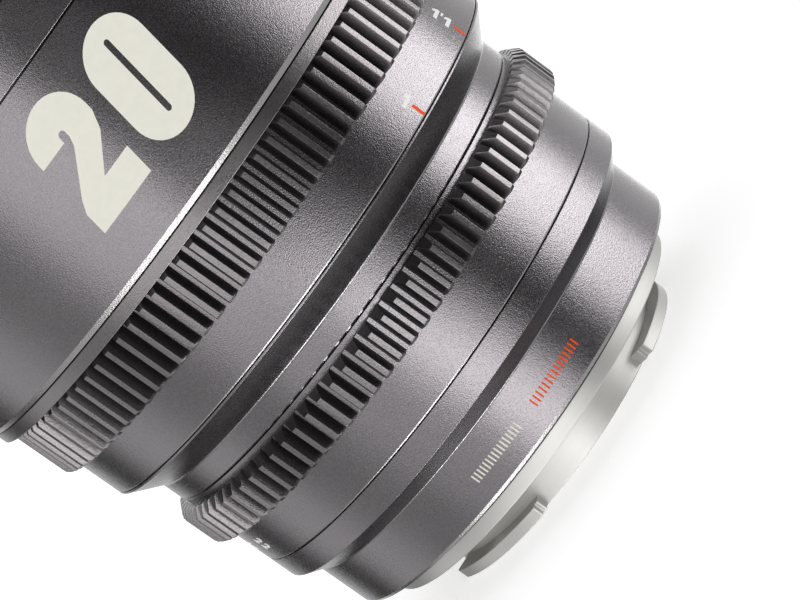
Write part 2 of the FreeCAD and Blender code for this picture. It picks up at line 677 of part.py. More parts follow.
def focus_collar():
    """Smooth retaining collar at the front of the focus gear."""
    high = FRONT_SEAM - HALF_SEAM
    head_seat = high - COLLAR_HEAD_DEPTH
    shank_hole = COLLAR_SCREW_RADIUS + SCREW_CLEARANCE
    head_hole = COLLAR_SCREW_HEAD + SCREW_CLEARANCE
    body = turned([
        (HELICOID_OUTER, COLLAR_LOW), (COLLAR_RADIUS, COLLAR_LOW, 0.1), (COLLAR_RADIUS, high, EDGE),
        (HELICOID_OUTER, high)])
    for angle in even_angles(COLLAR_SCREW_COUNT, COLLAR_SCREW_ANGLE):
        body = body.cut(upright(shank_hole, COLLAR_SCREW_CIRCLE, COLLAR_LOW - 1, high + 1, angle))
        body = body.cut(upright(head_hole, COLLAR_SCREW_CIRCLE, head_seat, high + 1, angle))
    return body.removeSplitter()


def focus_collar_screws():
    """Six small screws that hold the collar to the focus ring."""
    high = FRONT_SEAM - HALF_SEAM
    head_seat = high - COLLAR_HEAD_DEPTH
    screw_end = FOCUS_GEAR_HIGH - COLLAR_SCREW_BITE
    screws = []
    for angle in even_angles(COLLAR_SCREW_COUNT, COLLAR_SCREW_ANGLE):
        shank = upright(COLLAR_SCREW_RADIUS, COLLAR_SCREW_CIRCLE, screw_end, head_seat, angle)
        head = upright(COLLAR_SCREW_HEAD, COLLAR_SCREW_CIRCLE, head_seat, high - SCREW_HEAD_SUNK, angle)
        screws.append(shank.fuse(head).removeSplitter())
    return Part.makeCompound(screws)


def helicoid_ring():
    """Turning half of the focusing thread, running on the tube at its rear land."""
    low = FOCUS_SEAM + HALF_SEAM
    land_top = low + HELICOID_LAND
    bore = TUBE_OUTER + RUNNING_FIT
    return turned([
        (bore, low), (HELICOID_OUTER, low), (HELICOID_OUTER, COLLAR_LOW), (HELICOID_CREST, COLLAR_LOW),
        (HELICOID_CREST, land_top), (bore, land_top)])


def helicoid_retainer():
    """Front land of the turning ring, screwed in after the focusing lugs."""
    return ring(TUBE_OUTER + RUNNING_FIT, HELICOID_OUTER, COLLAR_LOW, HELICOID_RETAINER_TOP)


def focus_carrier():
    """Sliding cell that carries the focusing glass inside the tube."""
    guide = TUBE_INNER - RUNNING_FIT
    front_seat = FOCUS_FRONT_RIM + GLASS_FIT
    body = turned([
        (CARRIER_REAR_SEAT, CARRIER_HUB_LOW), (CARRIER_REAR_HUB, CARRIER_HUB_LOW),
        (CARRIER_REAR_HUB, CARRIER_WEB_LOW), (CARRIER_WEB_RADIUS, CARRIER_WEB_LOW),
        (CARRIER_SHELL_RADIUS, CARRIER_SHELL_LOW), (CARRIER_SHELL_RADIUS, CARRIER_LOW),
        (guide, CARRIER_LOW, CARRIER_EDGE), (guide, CARRIER_HIGH, CARRIER_EDGE),
        (CARRIER_SHELL_RADIUS, CARRIER_HIGH), (CARRIER_SHELL_RADIUS, CARRIER_WEB_HIGH + CARRIER_WEB_FLARE),
        (CARRIER_WEB_RADIUS, CARRIER_WEB_HIGH), (CARRIER_FRONT_HUB, CARRIER_WEB_HIGH),
        (CARRIER_FRONT_HUB, CARRIER_HUB_HIGH), (front_seat, CARRIER_HUB_HIGH),
        (front_seat, CARRIER_FRONT_STEP), (CARRIER_OPENING, CARRIER_FRONT_STEP),
        (CARRIER_OPENING, CARRIER_REAR_STEP), (CARRIER_REAR_SEAT, CARRIER_REAR_STEP)])
    seat = block(LUG_SEAT, TUBE_INNER + 1, LUG_WIDTH, LUG_LOW, LUG_HIGH)
    for copy in spaced(seat, LUG_COUNT, LUG_ANGLE):
        body = body.cut(copy)
    return body.removeSplitter()


def helicoid_lugs():
    """Three thread segments on the carrier that reach out through the tube's key slots."""
    lug = block(LUG_SEAT, HELICOID_CREST + 1, LUG_WIDTH, LUG_LOW, LUG_HIGH)
    lug = lug.common(ring(LUG_SEAT - 1, HELICOID_CREST - RUNNING_FIT, LUG_LOW, LUG_HIGH))
    hole = radial(LUG_SCREW_RADIUS, LUG_SEAT - 1, HELICOID_OUTER, (LUG_LOW + LUG_HIGH) / 2)
    return Part.makeCompound(spaced(lug.cut(hole), LUG_COUNT, LUG_ANGLE))


def lug_screws():
    """Radial screws that fasten the thread segments to the carrier."""
    middle = (LUG_LOW + LUG_HIGH) / 2
    lug_screw = radial(LUG_SCREW_RADIUS, LUG_SEAT, LUG_SCREW_END, middle)
    return Part.makeCompound(spaced(lug_screw, LUG_COUNT, LUG_ANGLE))


def front_barrel():
    """Large smooth front barrel that hides the front cell."""
    bore = TUBE_FLANGE_RADIUS + SEAT_FIT
    low = FRONT_SEAM + HALF_SEAM
    high = FRONT_RING_LOW - HALF_SEAM
    clamp_low = high - BARREL_CLAMP_DEPTH
    return turned([
        (bore, low), (FRONT_RADIUS - BARREL_CHAMFER, low), (FRONT_RADIUS, low + BARREL_CHAMFER),
        (FRONT_RADIUS, high, EDGE), (BARREL_CLAMP_RADIUS, high), (BARREL_CLAMP_RADIUS, clamp_low),
        (bore, clamp_low)])


def front_ring():
    """Front ring with the filter thread inside and a clamping band outside."""
    seam = FRONT_RING_LOW + HALF_SEAM
    foot = FRONT_RING_LOW - BARREL_CLAMP_DEPTH
    return turned([
        (FRONT_RING_INNER, foot), (FRONT_RING_SPIGOT, foot), (FRONT_RING_SPIGOT, seam),
        (FRONT_RADIUS, seam, EDGE), (FRONT_RADIUS, FRONT_END, FRONT_EDGE),
        (FILTER_BORE + FILTER_CHAMFER, FRONT_END), (FILTER_BORE, FRONT_END - FILTER_CHAMFER),
        (FILTER_BORE, FILTER_LOW), (FRONT_RING_INNER, FILTER_LOW)])


def front_bezel():
    """Ribbed black ring round the front glass that traps stray light."""
    drop = BEZEL_STEP_DOWN / BEZEL_STEP_COUNT
    corners = [
        (BEZEL_INNER, CELL_TOP), (CELL_OUTER, CELL_TOP), (BEZEL_OUTER, BEZEL_SHOULDER),
        (BEZEL_OUTER, BEZEL_TOP)]
    for number in range(BEZEL_STEP_COUNT):
        radius = BEZEL_STEP_RADIUS - BEZEL_STEP_INWARD * number / BEZEL_STEP_COUNT
        height = BEZEL_TOP - drop * number
        corners.append((radius, height))
        corners.append((radius, height - drop + BEZEL_STEP_SLOPE))
    return turned(corners)


def front_cell():
    """Stepped cell for the three front elements, seated on the tube's flange."""
    front_seat = FRONT_GLASS_RIM + GLASS_FIT
    second_seat = SECOND_GLASS_RIM + GLASS_FIT
    third_seat = THIRD_GLASS_RIM + GLASS_FIT
    body = turned([
        (CELL_OPENING, CELL_LOW), (CELL_NECK, CELL_LOW), (CELL_NECK, CELL_SPIGOT_LOW),
        (CELL_SPIGOT, CELL_SPIGOT_LOW), (CELL_SPIGOT, TUBE_FLANGE_HIGH), (CELL_OUTER, TUBE_FLANGE_HIGH),
        (CELL_OUTER, CELL_TOP), (front_seat, CELL_TOP), (front_seat, FRONT_GLASS_SEAT),
        (second_seat, FRONT_GLASS_SEAT), (second_seat, SECOND_GLASS_SEAT), (third_seat, SECOND_GLASS_SEAT),
        (third_seat, THIRD_GLASS_SEAT), (CELL_OPENING, THIRD_GLASS_SEAT)])
    shank_hole = SCREW_RADIUS + SCREW_CLEARANCE
    head_hole = SCREW_HEAD_RADIUS + SCREW_CLEARANCE
    for angle in even_angles(CELL_SCREW_COUNT):
        foot = TUBE_FLANGE_HIGH - 1
        body = body.cut(upright(shank_hole, CELL_SCREW_CIRCLE, foot, CELL_SCREW_POCKET, angle))
        body = body.cut(upright(head_hole, CELL_SCREW_CIRCLE, CELL_SCREW_SEAT, CELL_SCREW_POCKET, angle))
    return body.removeSplitter()


def front_cell_screws():
    """Six screws from inside the cell down into the tube's flange."""
    shank_span = (TUBE_FLANGE_LOW + FREE_GAP, CELL_SCREW_SEAT)
    head_span = (CELL_SCREW_SEAT, CELL_SCREW_TOP)
    return Part.makeCompound([
        screw(CELL_SCREW_CIRCLE, shank_span, head_span, angle, opens_up=True)
        for angle in even_angles(CELL_SCREW_COUNT)])


def front_element():
    """Strongly curved front meniscus."""
    return lens(FRONT_GLASS_RIM, FRONT_GLASS_TOP, 62.0, FRONT_GLASS_TOP - 3.5, 31.0, 26.0)


def second_element():
    """Deep meniscus behind the front glass."""
    return lens(SECOND_GLASS_RIM, SECOND_GLASS_TOP, 45.0, SECOND_GLASS_TOP - 2.5, 20.0, 17.0)


def third_element():
    """Double concave element at the foot of the front cell."""
    return lens(THIRD_GLASS_RIM, THIRD_GLASS_TOP, -60.0, THIRD_GLASS_TOP - 1.5, 80.0, 15.5)


def front_retainer():
    """Threaded ring that holds the front glass in its seat."""
    inner = FRONT_GLASS_RIM - FRONT_RETAINER_WIDTH
    outer = FRONT_GLASS_RIM - GLASS_FIT
    top = CELL_TOP - 2 * GLASS_FIT
    inner_foot, outer_foot = FRONT_RETAINER_FOOT
    return turned([(inner, inner_foot), (outer, outer_foot), (outer, top), (inner, top)])


def second_retainer():
    """Threaded ring between the first two elements."""
    inner = SECOND_GLASS_RIM - SECOND_RETAINER_WIDTH
    outer = SECOND_GLASS_RIM - GLASS_FIT
    top = FRONT_GLASS_SEAT - GLASS_FIT
    inner_foot, outer_foot = SECOND_RETAINER_FOOT
    return turned([(inner, inner_foot), (outer, outer_foot), (outer, top), (inner, top)])


def third_retainer():
    """Threaded ring over the third element."""
    outer = THIRD_GLASS_RIM - GLASS_FIT
    return ring(CELL_OPENING, outer, THIRD_RETAINER_LOW, SECOND_GLASS_SEAT - GLASS_FIT)


def focus_front_element():
    """Double convex element in the sliding cell."""
    return lens(FOCUS_FRONT_RIM, FOCUS_FRONT_TOP, 40.0, FOCUS_FRONT_TOP - 3.8, -60.0, 13.0)


def focus_rear_element():
    """Meniscus at the back of the sliding cell."""
    return lens(FOCUS_REAR_RIM, FOCUS_REAR_TOP, -90.0, FOCUS_REAR_TOP - 1.45, 55.0, 11.5)


def focus_retainer():
    """Threaded ring that holds the sliding cell's front glass."""
    inner = FOCUS_FRONT_RIM - FOCUS_RETAINER_WIDTH
    return ring(inner, FOCUS_FRONT_RIM, FOCUS_FRONT_TOP, FOCUS_FRONT_TOP + FOCUS_RETAINER_HEIGHT)


def iris_housing():
    """Fixed cup of the iris, with a pivot hole for each blade."""
    cam_bore = CAM_OUTER + RUNNING_FIT
    body = turned([
        (IRIS_OPENING, IRIS_FLOOR_LOW), (INSERT_RADIUS, IRIS_FLOOR_LOW), (INSERT_RADIUS, COVER_LOW),
        (cam_bore, COVER_LOW), (cam_bore, IRIS_FLOOR_HIGH), (IRIS_OPENING, IRIS_FLOOR_HIGH)])
    hole_radius = PIVOT_PIN_RADIUS + RUNNING_FIT
    hole = upright(hole_radius, BLADE_PIVOT_CIRCLE, IRIS_FLOOR_LOW - 1, IRIS_FLOOR_HIGH + 1)
    for copy in spaced(hole, BLADE_COUNT):
        body = body.cut(copy)
    return body.cut(ring_pin_window()).removeSplitter()


def iris_cover():
    """Ring that closes the iris and keeps the cam ring down."""
    return ring(COVER_OPENING, INSERT_RADIUS, COVER_LOW, IRIS_TOP)


def drive_pin_place(blade_turn):
    """Centre of the first blade's drive pin after the blade has turned on its pivot."""
    return place(BLADE_PIVOT_CIRCLE, 0) + place(BLADE_ARM, 0, BLADE_ARM_START + blade_turn)


def drive_pin_path():
    """Places of the first blade's drive pin, as the turning ring sees them."""
    centres = []
    for number in range(SLOT_STATIONS):
        share = number / (SLOT_STATIONS - 1) * (1 + 2 * SLOT_OVERRUN) - SLOT_OVERRUN
        ring_turn = APERTURE_THROW * share
        centre = drive_pin_place(ring_turn * BLADE_RATIO) + VECTOR(0, 0, CAM_LOW - 1)
        turn = FreeCAD.Rotation(AXIS, ring_turn)
        centres.append(turn.multVec(centre))
    return centres


def smooth_curve(points):
    """Spline through points."""
    curve = Part.BSplineCurve()
    curve.interpolate(points)
    return curve


def cam_slot():
    """Curved slot that the first blade's drive pin follows while ring and blade turn together."""
    half_width = DRIVE_PIN_RADIUS + SLOT_CLEARANCE
    centres = drive_pin_path()
    path = smooth_curve(centres)
    left = []
    right = []
    for centre in centres:
        along = path.tangent(path.parameter(centre))[0]
        across = VECTOR(-along.y, along.x, 0) * half_width
        left.append(centre + across)
        right.append(centre - across)
    first_along = path.tangent(path.FirstParameter)[0].normalize()
    last_along = path.tangent(path.LastParameter)[0].normalize()
    near_end = Part.Arc(left[0], centres[0] - first_along * half_width, right[0])
    far_end = Part.Arc(left[-1], centres[-1] + last_along * half_width, right[-1])
    sides = [smooth_curve(left), far_end, smooth_curve(right), near_end]
    wire = Part.Wire(Part.__sortEdges__([side.toShape() for side in sides]))
    return Part.Face(wire).extrude(VECTOR(0, 0, CAM_HIGH - CAM_LOW + 2))


def iris_cam_ring():
    """Ring with nine curved slots that turns with the aperture ring and swings the blades."""
    body = ring(CAM_INNER, CAM_OUTER, CAM_LOW, CAM_HIGH)
    for copy in spaced(cam_slot(), BLADE_COUNT):
        body = body.cut(copy)
    hole = radial(RING_PIN_RADIUS, RING_PIN_NEAR, CAM_OUTER + 1, RING_PIN_HEIGHT, RING_PIN_ANGLE)
    return body.cut(hole).removeSplitter()


def iris_blade(number):
    """Crescent blade with a pivot pin below and a drive pin above, each at its own level."""
    low = BLADE_FLOOR + number * BLADE_PITCH
    high = low + BLADE_THICKNESS
    middle = (BLADE_INNER + BLADE_OUTER) / 2
    half = (BLADE_OUTER - BLADE_INNER) / 2
    pivot = place(BLADE_PIVOT_CIRCLE, low)
    drive = drive_pin_place(0) + VECTOR(0, 0, low)
    corner = VECTOR(0, -BLADE_ARM_WIDTH / 2, 0)
    arm = Part.makeBox(BLADE_ARM, BLADE_ARM_WIDTH, BLADE_THICKNESS, corner)
    arm.rotate(ORIGIN, AXIS, BLADE_ARM_START)
    arm.translate(pivot)
    body = ring(BLADE_INNER, BLADE_OUTER, low, high)
    body = body.common(wedge(BLADE_OUTER + 1, low, high, BLADE_START, BLADE_END - BLADE_START))
    body = body.fuse([
        upright(half, middle, low, high, BLADE_END),
        upright(half, middle, low, high, BLADE_START),
        arm,
        Part.makeCylinder(BLADE_PIVOT_EAR, BLADE_THICKNESS, pivot),
        Part.makeCylinder(BLADE_DRIVE_EAR, BLADE_THICKNESS, drive),
        block(BLADE_OUTER - 1.5, BLADE_PIVOT_CIRCLE, 2 * BLADE_PIVOT_EAR, low, high),
        upright(PIVOT_PIN_RADIUS, BLADE_PIVOT_CIRCLE, IRIS_FLOOR_LOW + 0.2, high),
        Part.makeCylinder(DRIVE_PIN_RADIUS, CAM_HIGH - 0.4 - low, drive)]).removeSplitter()
    body.rotate(ORIGIN, AXIS, number * FULL_TURN / BLADE_COUNT)
    return body


def rear_cell():
    """Stepped tube that holds the rear glass and hangs from the tube under the iris."""
    rear_seat = REAR_GLASS_RIM + GLASS_FIT
    doublet_seat = DOUBLET_RIM + GLASS_FIT
    body = turned([
        (REAR_CELL_LIP, IRIS_FLOOR_LOW), (INSERT_RADIUS, IRIS_FLOOR_LOW),
        (INSERT_RADIUS, REAR_CELL_FLANGE_LOW), (REAR_CELL_OUTER, REAR_CELL_FLANGE_LOW),
        (REAR_CELL_OUTER, REAR_CELL_LOW), (rear_seat, REAR_CELL_LOW), (rear_seat, REAR_CELL_STEP),
        (doublet_seat, REAR_CELL_STEP), (doublet_seat, REAR_CELL_LIP_LOW),
        (REAR_CELL_LIP, REAR_CELL_LIP_LOW)])
    for angle in LOCK_SCREW_ANGLES:
        body = body.cut(radial(LOCK_SCREW_RADIUS, TUBE_INNER - 2, TUBE_OUTER + 1, CELL_LOCK_HEIGHT, angle))
    return body.removeSplitter()


def rear_front_element():
    """Double convex crown of the rear doublet."""
    return lens(DOUBLET_RIM, DOUBLET_TOP, 30.0, DOUBLET_JOIN, -18.0)


def rear_flint_element():
    """Flint cemented to the back of the crown."""
    return lens(DOUBLET_RIM, DOUBLET_JOIN, -18.0, DOUBLET_LOW, 70.0)


def rear_spacer():
    """Ring that keeps the rear glass apart."""
    return ring(DOUBLET_RIM - 1, DOUBLET_RIM, REAR_SPACER_LOW, REAR_SPACER_HIGH)


def rear_element():
    """Last element, close to the camera."""
    return lens(REAR_GLASS_RIM, REAR_GLASS_TOP, 34.0, REAR_GLASS_TOP - 4.0, -90.0)


def rear_retainer():
    """Threaded ring behind the last element."""
    return ring(REAR_CELL_LIP, REAR_GLASS_RIM, REAR_RETAINER_LOW, REAR_RETAINER_HIGH)


def build():
    """Shape of every piece by its name."""
    pieces = [
        bayonet_mount, mount_screws, mount_shim, rear_baffle, rear_barrel, mount_index_bead, main_tube,
        barrel_lock_screws, neck_lock_screws, cell_lock_screws, index_collar, focus_stop_pin,
        thrust_washer_rear, thrust_washer_front, aperture_ring, aperture_ring_pin, focus_ring,
        focus_collar, focus_collar_screws, helicoid_ring, helicoid_retainer, focus_carrier, helicoid_lugs,
        lug_screws, focus_front_element, focus_rear_element, focus_retainer, front_barrel, front_ring,
        front_bezel, front_cell, front_cell_screws, front_element, front_retainer, second_element,
        second_retainer, third_element, third_retainer, iris_housing, iris_cover, iris_cam_ring, rear_cell,
        rear_front_element, rear_flint_element, rear_spacer, rear_element, rear_retainer]
    shapes = {piece.__name__: piece() for piece in pieces}
    for number in range(BLADE_COUNT):
        shapes["iris_blade_%d" % (number + 1)] = iris_blade(number)
    return shapes


os.makedirs("parts", exist_ok=True)
for name, shape in build().items():
    shape.exportStep("parts/%s.step" % name)
    print(name, "solids", len(shape.Solids), "faces", len(shape.Faces), "valid", shape.isValid())
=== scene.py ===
import json
import logging
import math
from dataclasses import dataclass
from enum import Enum
from typing import Any, Iterable, Sequence

import bmesh
import bpy
from mathutils import Matrix, Vector


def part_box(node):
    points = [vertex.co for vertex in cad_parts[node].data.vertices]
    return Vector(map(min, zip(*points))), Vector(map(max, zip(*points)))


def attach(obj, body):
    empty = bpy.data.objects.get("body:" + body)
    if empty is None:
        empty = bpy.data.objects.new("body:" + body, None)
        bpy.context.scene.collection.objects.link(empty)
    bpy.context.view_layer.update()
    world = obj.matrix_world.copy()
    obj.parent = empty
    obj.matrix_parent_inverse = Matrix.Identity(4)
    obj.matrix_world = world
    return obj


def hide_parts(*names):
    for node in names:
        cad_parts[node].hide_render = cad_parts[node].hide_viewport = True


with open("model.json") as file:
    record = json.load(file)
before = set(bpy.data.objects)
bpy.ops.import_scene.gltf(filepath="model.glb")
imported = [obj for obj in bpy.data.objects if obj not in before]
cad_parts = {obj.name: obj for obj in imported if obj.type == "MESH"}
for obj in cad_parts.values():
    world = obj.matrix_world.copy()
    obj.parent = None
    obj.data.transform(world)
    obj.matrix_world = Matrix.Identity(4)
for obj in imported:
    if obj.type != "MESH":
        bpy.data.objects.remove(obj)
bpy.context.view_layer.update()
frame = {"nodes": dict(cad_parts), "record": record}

# A cinema prime lens that stands on its bayonet. Sizes are in millimetres, as on a drawing.
# Heights count from the mount's flange, and angles round the optical axis from the side with the
# large numerals, which faces -Y, towards +X. A number named a share or a contrast has no unit.

Colour = tuple[float, float, float]
Pair = tuple[float, float]

MM = 0.001                    # metres in a millimetre
FULL_TURN = 360.0             # degrees
FINE_SEGMENTS = 240           # faces round a large ring
GLASS_SEGMENTS = 120          # faces round a glass element
HIGHLIGHT_EDGE = "painted_highlight_edge"       # attribute that marks the edge faces given a painted highlight
HIGHLIGHT_LEAN = (-0.57, -0.40)    # upright part of the normal of a face with a painted highlight, flattest and steepest
ON_AXIS = 0.000001            # radius, in millimetres, up to which a point is a pole
EDGE_SLANT = 0.5              # how far a bright edge leans in for each millimetre up
SEAM_CLOSE = 0.035            # how far a ring reaches into the gap beside it, to keep it fine
WHITE = (1.0, 1.0, 1.0)
BLACK = (0.0, 0.0, 0.0)
LOG = logging.getLogger("prime_lens")


class Body(Enum):
    """The bodies of the frame that pieces ride on."""

    HOUSING = "housing"
    FOCUS_ROTOR = "focus_rotor"
    FOCUS_GROUP = "focus_group"
    APERTURE_ROTOR = "aperture_rotor"


class Slot(Enum):
    """The record's material slots."""

    ANODISED = "anodised_barrel"
    STAINLESS = "stainless_mount"
    BRIGHT_SCREWS = "bright_screws"
    DARK_SCREWS = "dark_screws"
    SPRING_STEEL = "spring_steel"
    BLACK_INNER = "black_inner"
    ALLOY_INNER = "alloy_inner"
    BRASS = "brass_thread"
    BEAD = "index_bead"
    WASHER = "washer_plastic"
    GLASS = "coated_glass"
    BLADES = "blade_steel"


class Reading(Enum):
    """Which way a scale's figures run."""

    ROUND = "round the ring"
    ALONG = "along the axis, towards the rear"


class Signal:
    """A number that runs through a node tree and takes part in ordinary arithmetic."""

    def __init__(self, tree: bpy.types.NodeTree, socket: bpy.types.NodeSocket) -> None:
        """Wraps an output socket.

        Args:
            tree: The node tree that the socket belongs to.
            socket: The output socket that gives the number.
        """
        self.tree = tree
        self.socket = socket

    def _join(self, operation: str, *terms: "Signal | float") -> "Signal":
        """Adds one Math node.

        Args:
            operation: The node's operation.
            terms: The values or signals of its sockets, in order.

        Returns:
            The node's result.
        """
        node = self.tree.nodes.new("ShaderNodeMath")
        node.operation = operation
        for place, term in zip(node.inputs, terms):
            if isinstance(term, Signal):
                self.tree.links.new(term.socket, place)
            else:
                place.default_value = term
        return Signal(self.tree, node.outputs[0])

    def __add__(self, other: "Signal | float") -> "Signal":
        """Sum."""
        return self._join("ADD", self, other)

    __radd__ = __add__

    def __sub__(self, other: "Signal | float") -> "Signal":
        """Difference."""
        return self._join("SUBTRACT", self, other)

    def __rsub__(self, other: float) -> "Signal":
        """Difference from a plain number."""
        return self._join("SUBTRACT", other, self)

    def __mul__(self, other: "Signal | float") -> "Signal":
        """Product."""
        return self._join("MULTIPLY", self, other)

    __rmul__ = __mul__

    def __truediv__(self, other: "Signal | float") -> "Signal":
        """Quotient."""
        return self._join("DIVIDE", self, other)

    def clamped(self) -> "Signal":
        """Keeps the number between 0 and 1.

        Returns:
            The kept number.
        """
        result = self._join("ADD", self, 0.0)
        result.socket.node.use_clamp = True
        return result

    def smooth(self, low: float, high: float) -> "Signal":
        """Soft step that is 0 below the low limit and 1 above the high one."""
        share = ((self - low) / (high - low)).clamped()
        return share * share * (3.0 - 2.0 * share)

    def swing(self, reach: float) -> "Signal":
        """The number's distance from its middle of 0.5, times a reach."""
        return (self - 0.5) * reach


class NodeKit:
    """Adds nodes to one tree, of a material, the world or a shape."""

    def __init__(self, tree: bpy.types.NodeTree) -> None:
        """Takes up a tree."""
        self.tree = tree

    def join(self, value: Any, socket: bpy.types.NodeSocket) -> None:
        """Sets a socket.

        Args:
            value: A plain value, a signal or another socket.
            socket: The socket that takes it.
        """
        if isinstance(value, Signal):
            value = value.socket
        if isinstance(value, bpy.types.NodeSocket):
            self.tree.links.new(value, socket)
        else:
            socket.default_value = value

    def add(
        self,
        kind: str,
        settings: dict[str, Any] | None = None,
        sockets: dict[str | int, Any] | None = None,
    ) -> bpy.types.Node:
        """Adds a node, with its settings first and then its sockets.

        Args:
            kind: The node's type.
            settings: Attribute names and values of the node itself.
            sockets: Socket names or numbers, with the value or link of each.

        Returns:
            The new node.
        """
        node = self.tree.nodes.new(kind)
        for name, value in (settings or {}).items():
            setattr(node, name, value)
        for name, value in (sockets or {}).items():
            self.join(value, node.inputs[name])
        return node

    def signal(self, node: bpy.types.Node, output: str | int = 0) -> Signal:
        """Wraps a node's output so that it takes part in arithmetic."""
        return Signal(self.tree, node.outputs[output])

    def backdrop_rays(self) -> Signal:
        """Tells the rays that show the backdrop: those of the camera, of gloss and of glass.

        Returns:
            1 for such a ray and 0 for another one.
        """
        path = self.add("ShaderNodeLightPath")
        camera, gloss, glass = (
            self.signal(path, name)
            for name in ("Is Camera Ray", "Is Glossy Ray", "Is Transmission Ray")
        )
        return (camera + gloss + glass).clamped()


class Recipe(NodeKit):
    """A node material under construction."""

    def __init__(self, name: str) -> None:
        """Starts a material with a principled surface.

        Args:
            name: The material's name.
        """
        self.material = bpy.data.materials.new(name)
        self.material.use_nodes = True
        super().__init__(self.material.node_tree)
        self.tree.nodes.clear()
        self.surface = self.add("ShaderNodeBsdfPrincipled")
        self.add("ShaderNodeOutputMaterial", sockets={"Surface": self.surface.outputs[0]})
        self.place = self.add("ShaderNodeTexCoord").outputs["Object"]

    def set(self, **values: Any) -> None:
        """Sets sockets of the surface, with underscores for the spaces in their names."""
        for name, value in values.items():
            self.join(value, self.surface.inputs[name.replace("_", " ")])

    def noise(
        self,
        scale: float,
        detail: float = 2.0,
        roughness: float = 0.5,
        at: bpy.types.NodeSocket | None = None,
    ) -> Signal:
        """Noise on the piece's own coordinates.

        Args:
            scale: Grains per metre.
            detail: Octaves.
            roughness: Share of each finer octave.
            at: Other coordinates to read, if any.

        Returns:
            A signal from 0 to 1.
        """
        sockets = {"Vector": at or self.place, "Scale": scale, "Detail": detail}
        node = self.add("ShaderNodeTexNoise", sockets={**sockets, "Roughness": roughness})
        return self.signal(node)

    def turned_place(self, stretch: float) -> bpy.types.NodeSocket:
        """Coordinates of a turned surface: its radius and height, with a little of the way round.

        Args:
            stretch: Share of the true position that is mixed in, so that a groove isn't endless.

        Returns:
            A vector socket.
        """
        parts = self.add("ShaderNodeSeparateXYZ", sockets={0: self.place})
        flat = {0: parts.outputs[0], 1: parts.outputs[1]}
        across = self.add("ShaderNodeCombineXYZ", sockets=flat)
        radius = self.add("ShaderNodeVectorMath", {"operation": "LENGTH"}, {0: across.outputs[0]})
        side, depth = (self.signal(parts, number) * stretch for number in (0, 1))
        grooves = self.signal(radius, "Value") + self.signal(parts, 2)
        place = self.add("ShaderNodeCombineXYZ", sockets={0: side, 1: depth, 2: grooves})
        return place.outputs[0]

    def relief(self, height: Signal, depth: float) -> None:
        """Raises the surface's normal by a height signal.

        Args:
            height: Height from 0 to 1.
            depth: What a height of 1 means, in metres.
        """
        sockets = {"Strength": 1.0, "Distance": depth, "Height": height}
        bump = self.add("ShaderNodeBump", sockets=sockets)
        self.join(bump.outputs["Normal"], self.surface.inputs["Normal"])

    def tint(
        self, share: Signal, low: Colour | bpy.types.NodeSocket, high: Colour
    ) -> bpy.types.NodeSocket:
        """Blends two colours.

        Args:
            share: 0 for the first colour and 1 for the second.
            low: First colour, or a socket that holds it.
            high: Second colour.

        Returns:
            A colour socket.
        """
        node = self.add("ShaderNodeMix", {"data_type": "RGBA"})
        self.join(share, node.inputs[0])
        self.join(low if isinstance(low, bpy.types.NodeSocket) else (*low, 1.0), node.inputs[6])
        self.join((*high, 1.0), node.inputs[7])
        return node.outputs[2]

    def varied(self, share: Signal, colour: Colour, spread: Pair) -> bpy.types.NodeSocket:
        """Makes one colour darker and lighter.

        Args:
            share: 0 for the darkest and 1 for the lightest.
            colour: The colour.
            spread: Factors on it at its darkest and lightest.

        Returns:
            A colour socket.
        """
        dark, light = (tuple(min(1.0, part * factor) for part in colour) for factor in spread)
        return self.tint(share, dark, light)


@dataclass(frozen=True)
class Anodised:
    """Bead-blasted and anodised aluminium: dark, satin, with a fine sparkling grain."""

    name: str = "anodised_metal"
    colour: Colour = (0.108, 0.1005, 0.106)
    roughness: float = 0.27
    metallic: float = 0.95
    bead_scale: float = 5900.0
    pits_per_bead: float = 0.55
    pit_share: float = 0.12
    grain_depth: float = 0.000029
    cloud_scale: float = 90.0
    cloud_contrast: float = 0.3
    grain_contrast: float = 1.2
    base_tone: float = 0.35
    spread: Pair = (0.68, 1.36)
    cloud_gloss: float = 0.08
    bead_gloss: float = 0.12
    # lighter colour painted on the marked edge faces as a highlight
    highlight_colour: Colour = (0.25, 0.24, 0.24)

    def make(self) -> bpy.types.Material:
        """Builds the material. Faces with the highlight attribute get a lighter colour: a painted
        highlight on the edges that lean to catch the light from below.

        Returns:
            The material.
        """
        recipe = Recipe(self.name)
        marks = recipe.add("ShaderNodeAttribute", {"attribute_name": HIGHLIGHT_EDGE})
        highlight_mask = recipe.signal(marks, "Fac")
        beads = recipe.noise(self.bead_scale, detail=1.0)
        pits = recipe.noise(self.bead_scale * self.pits_per_bead, detail=1.0)
        clouds = recipe.noise(self.cloud_scale, detail=3.0)
        grain = beads * (1.0 - self.pit_share) + pits * self.pit_share
        tone = clouds * self.cloud_contrast + grain.swing(self.grain_contrast) + self.base_tone
        skin = recipe.varied(tone.clamped(), self.colour, self.spread)
        gloss = clouds.swing(self.cloud_gloss) + beads.swing(self.bead_gloss)
        # The marked edge faces get the painted highlight colour.
        recipe.set(
            Base_Color=recipe.tint(highlight_mask, skin, self.highlight_colour),
            Metallic=self.metallic,
            Roughness=gloss + self.roughness,
        )
        recipe.relief(grain, self.grain_depth)
        return recipe.material


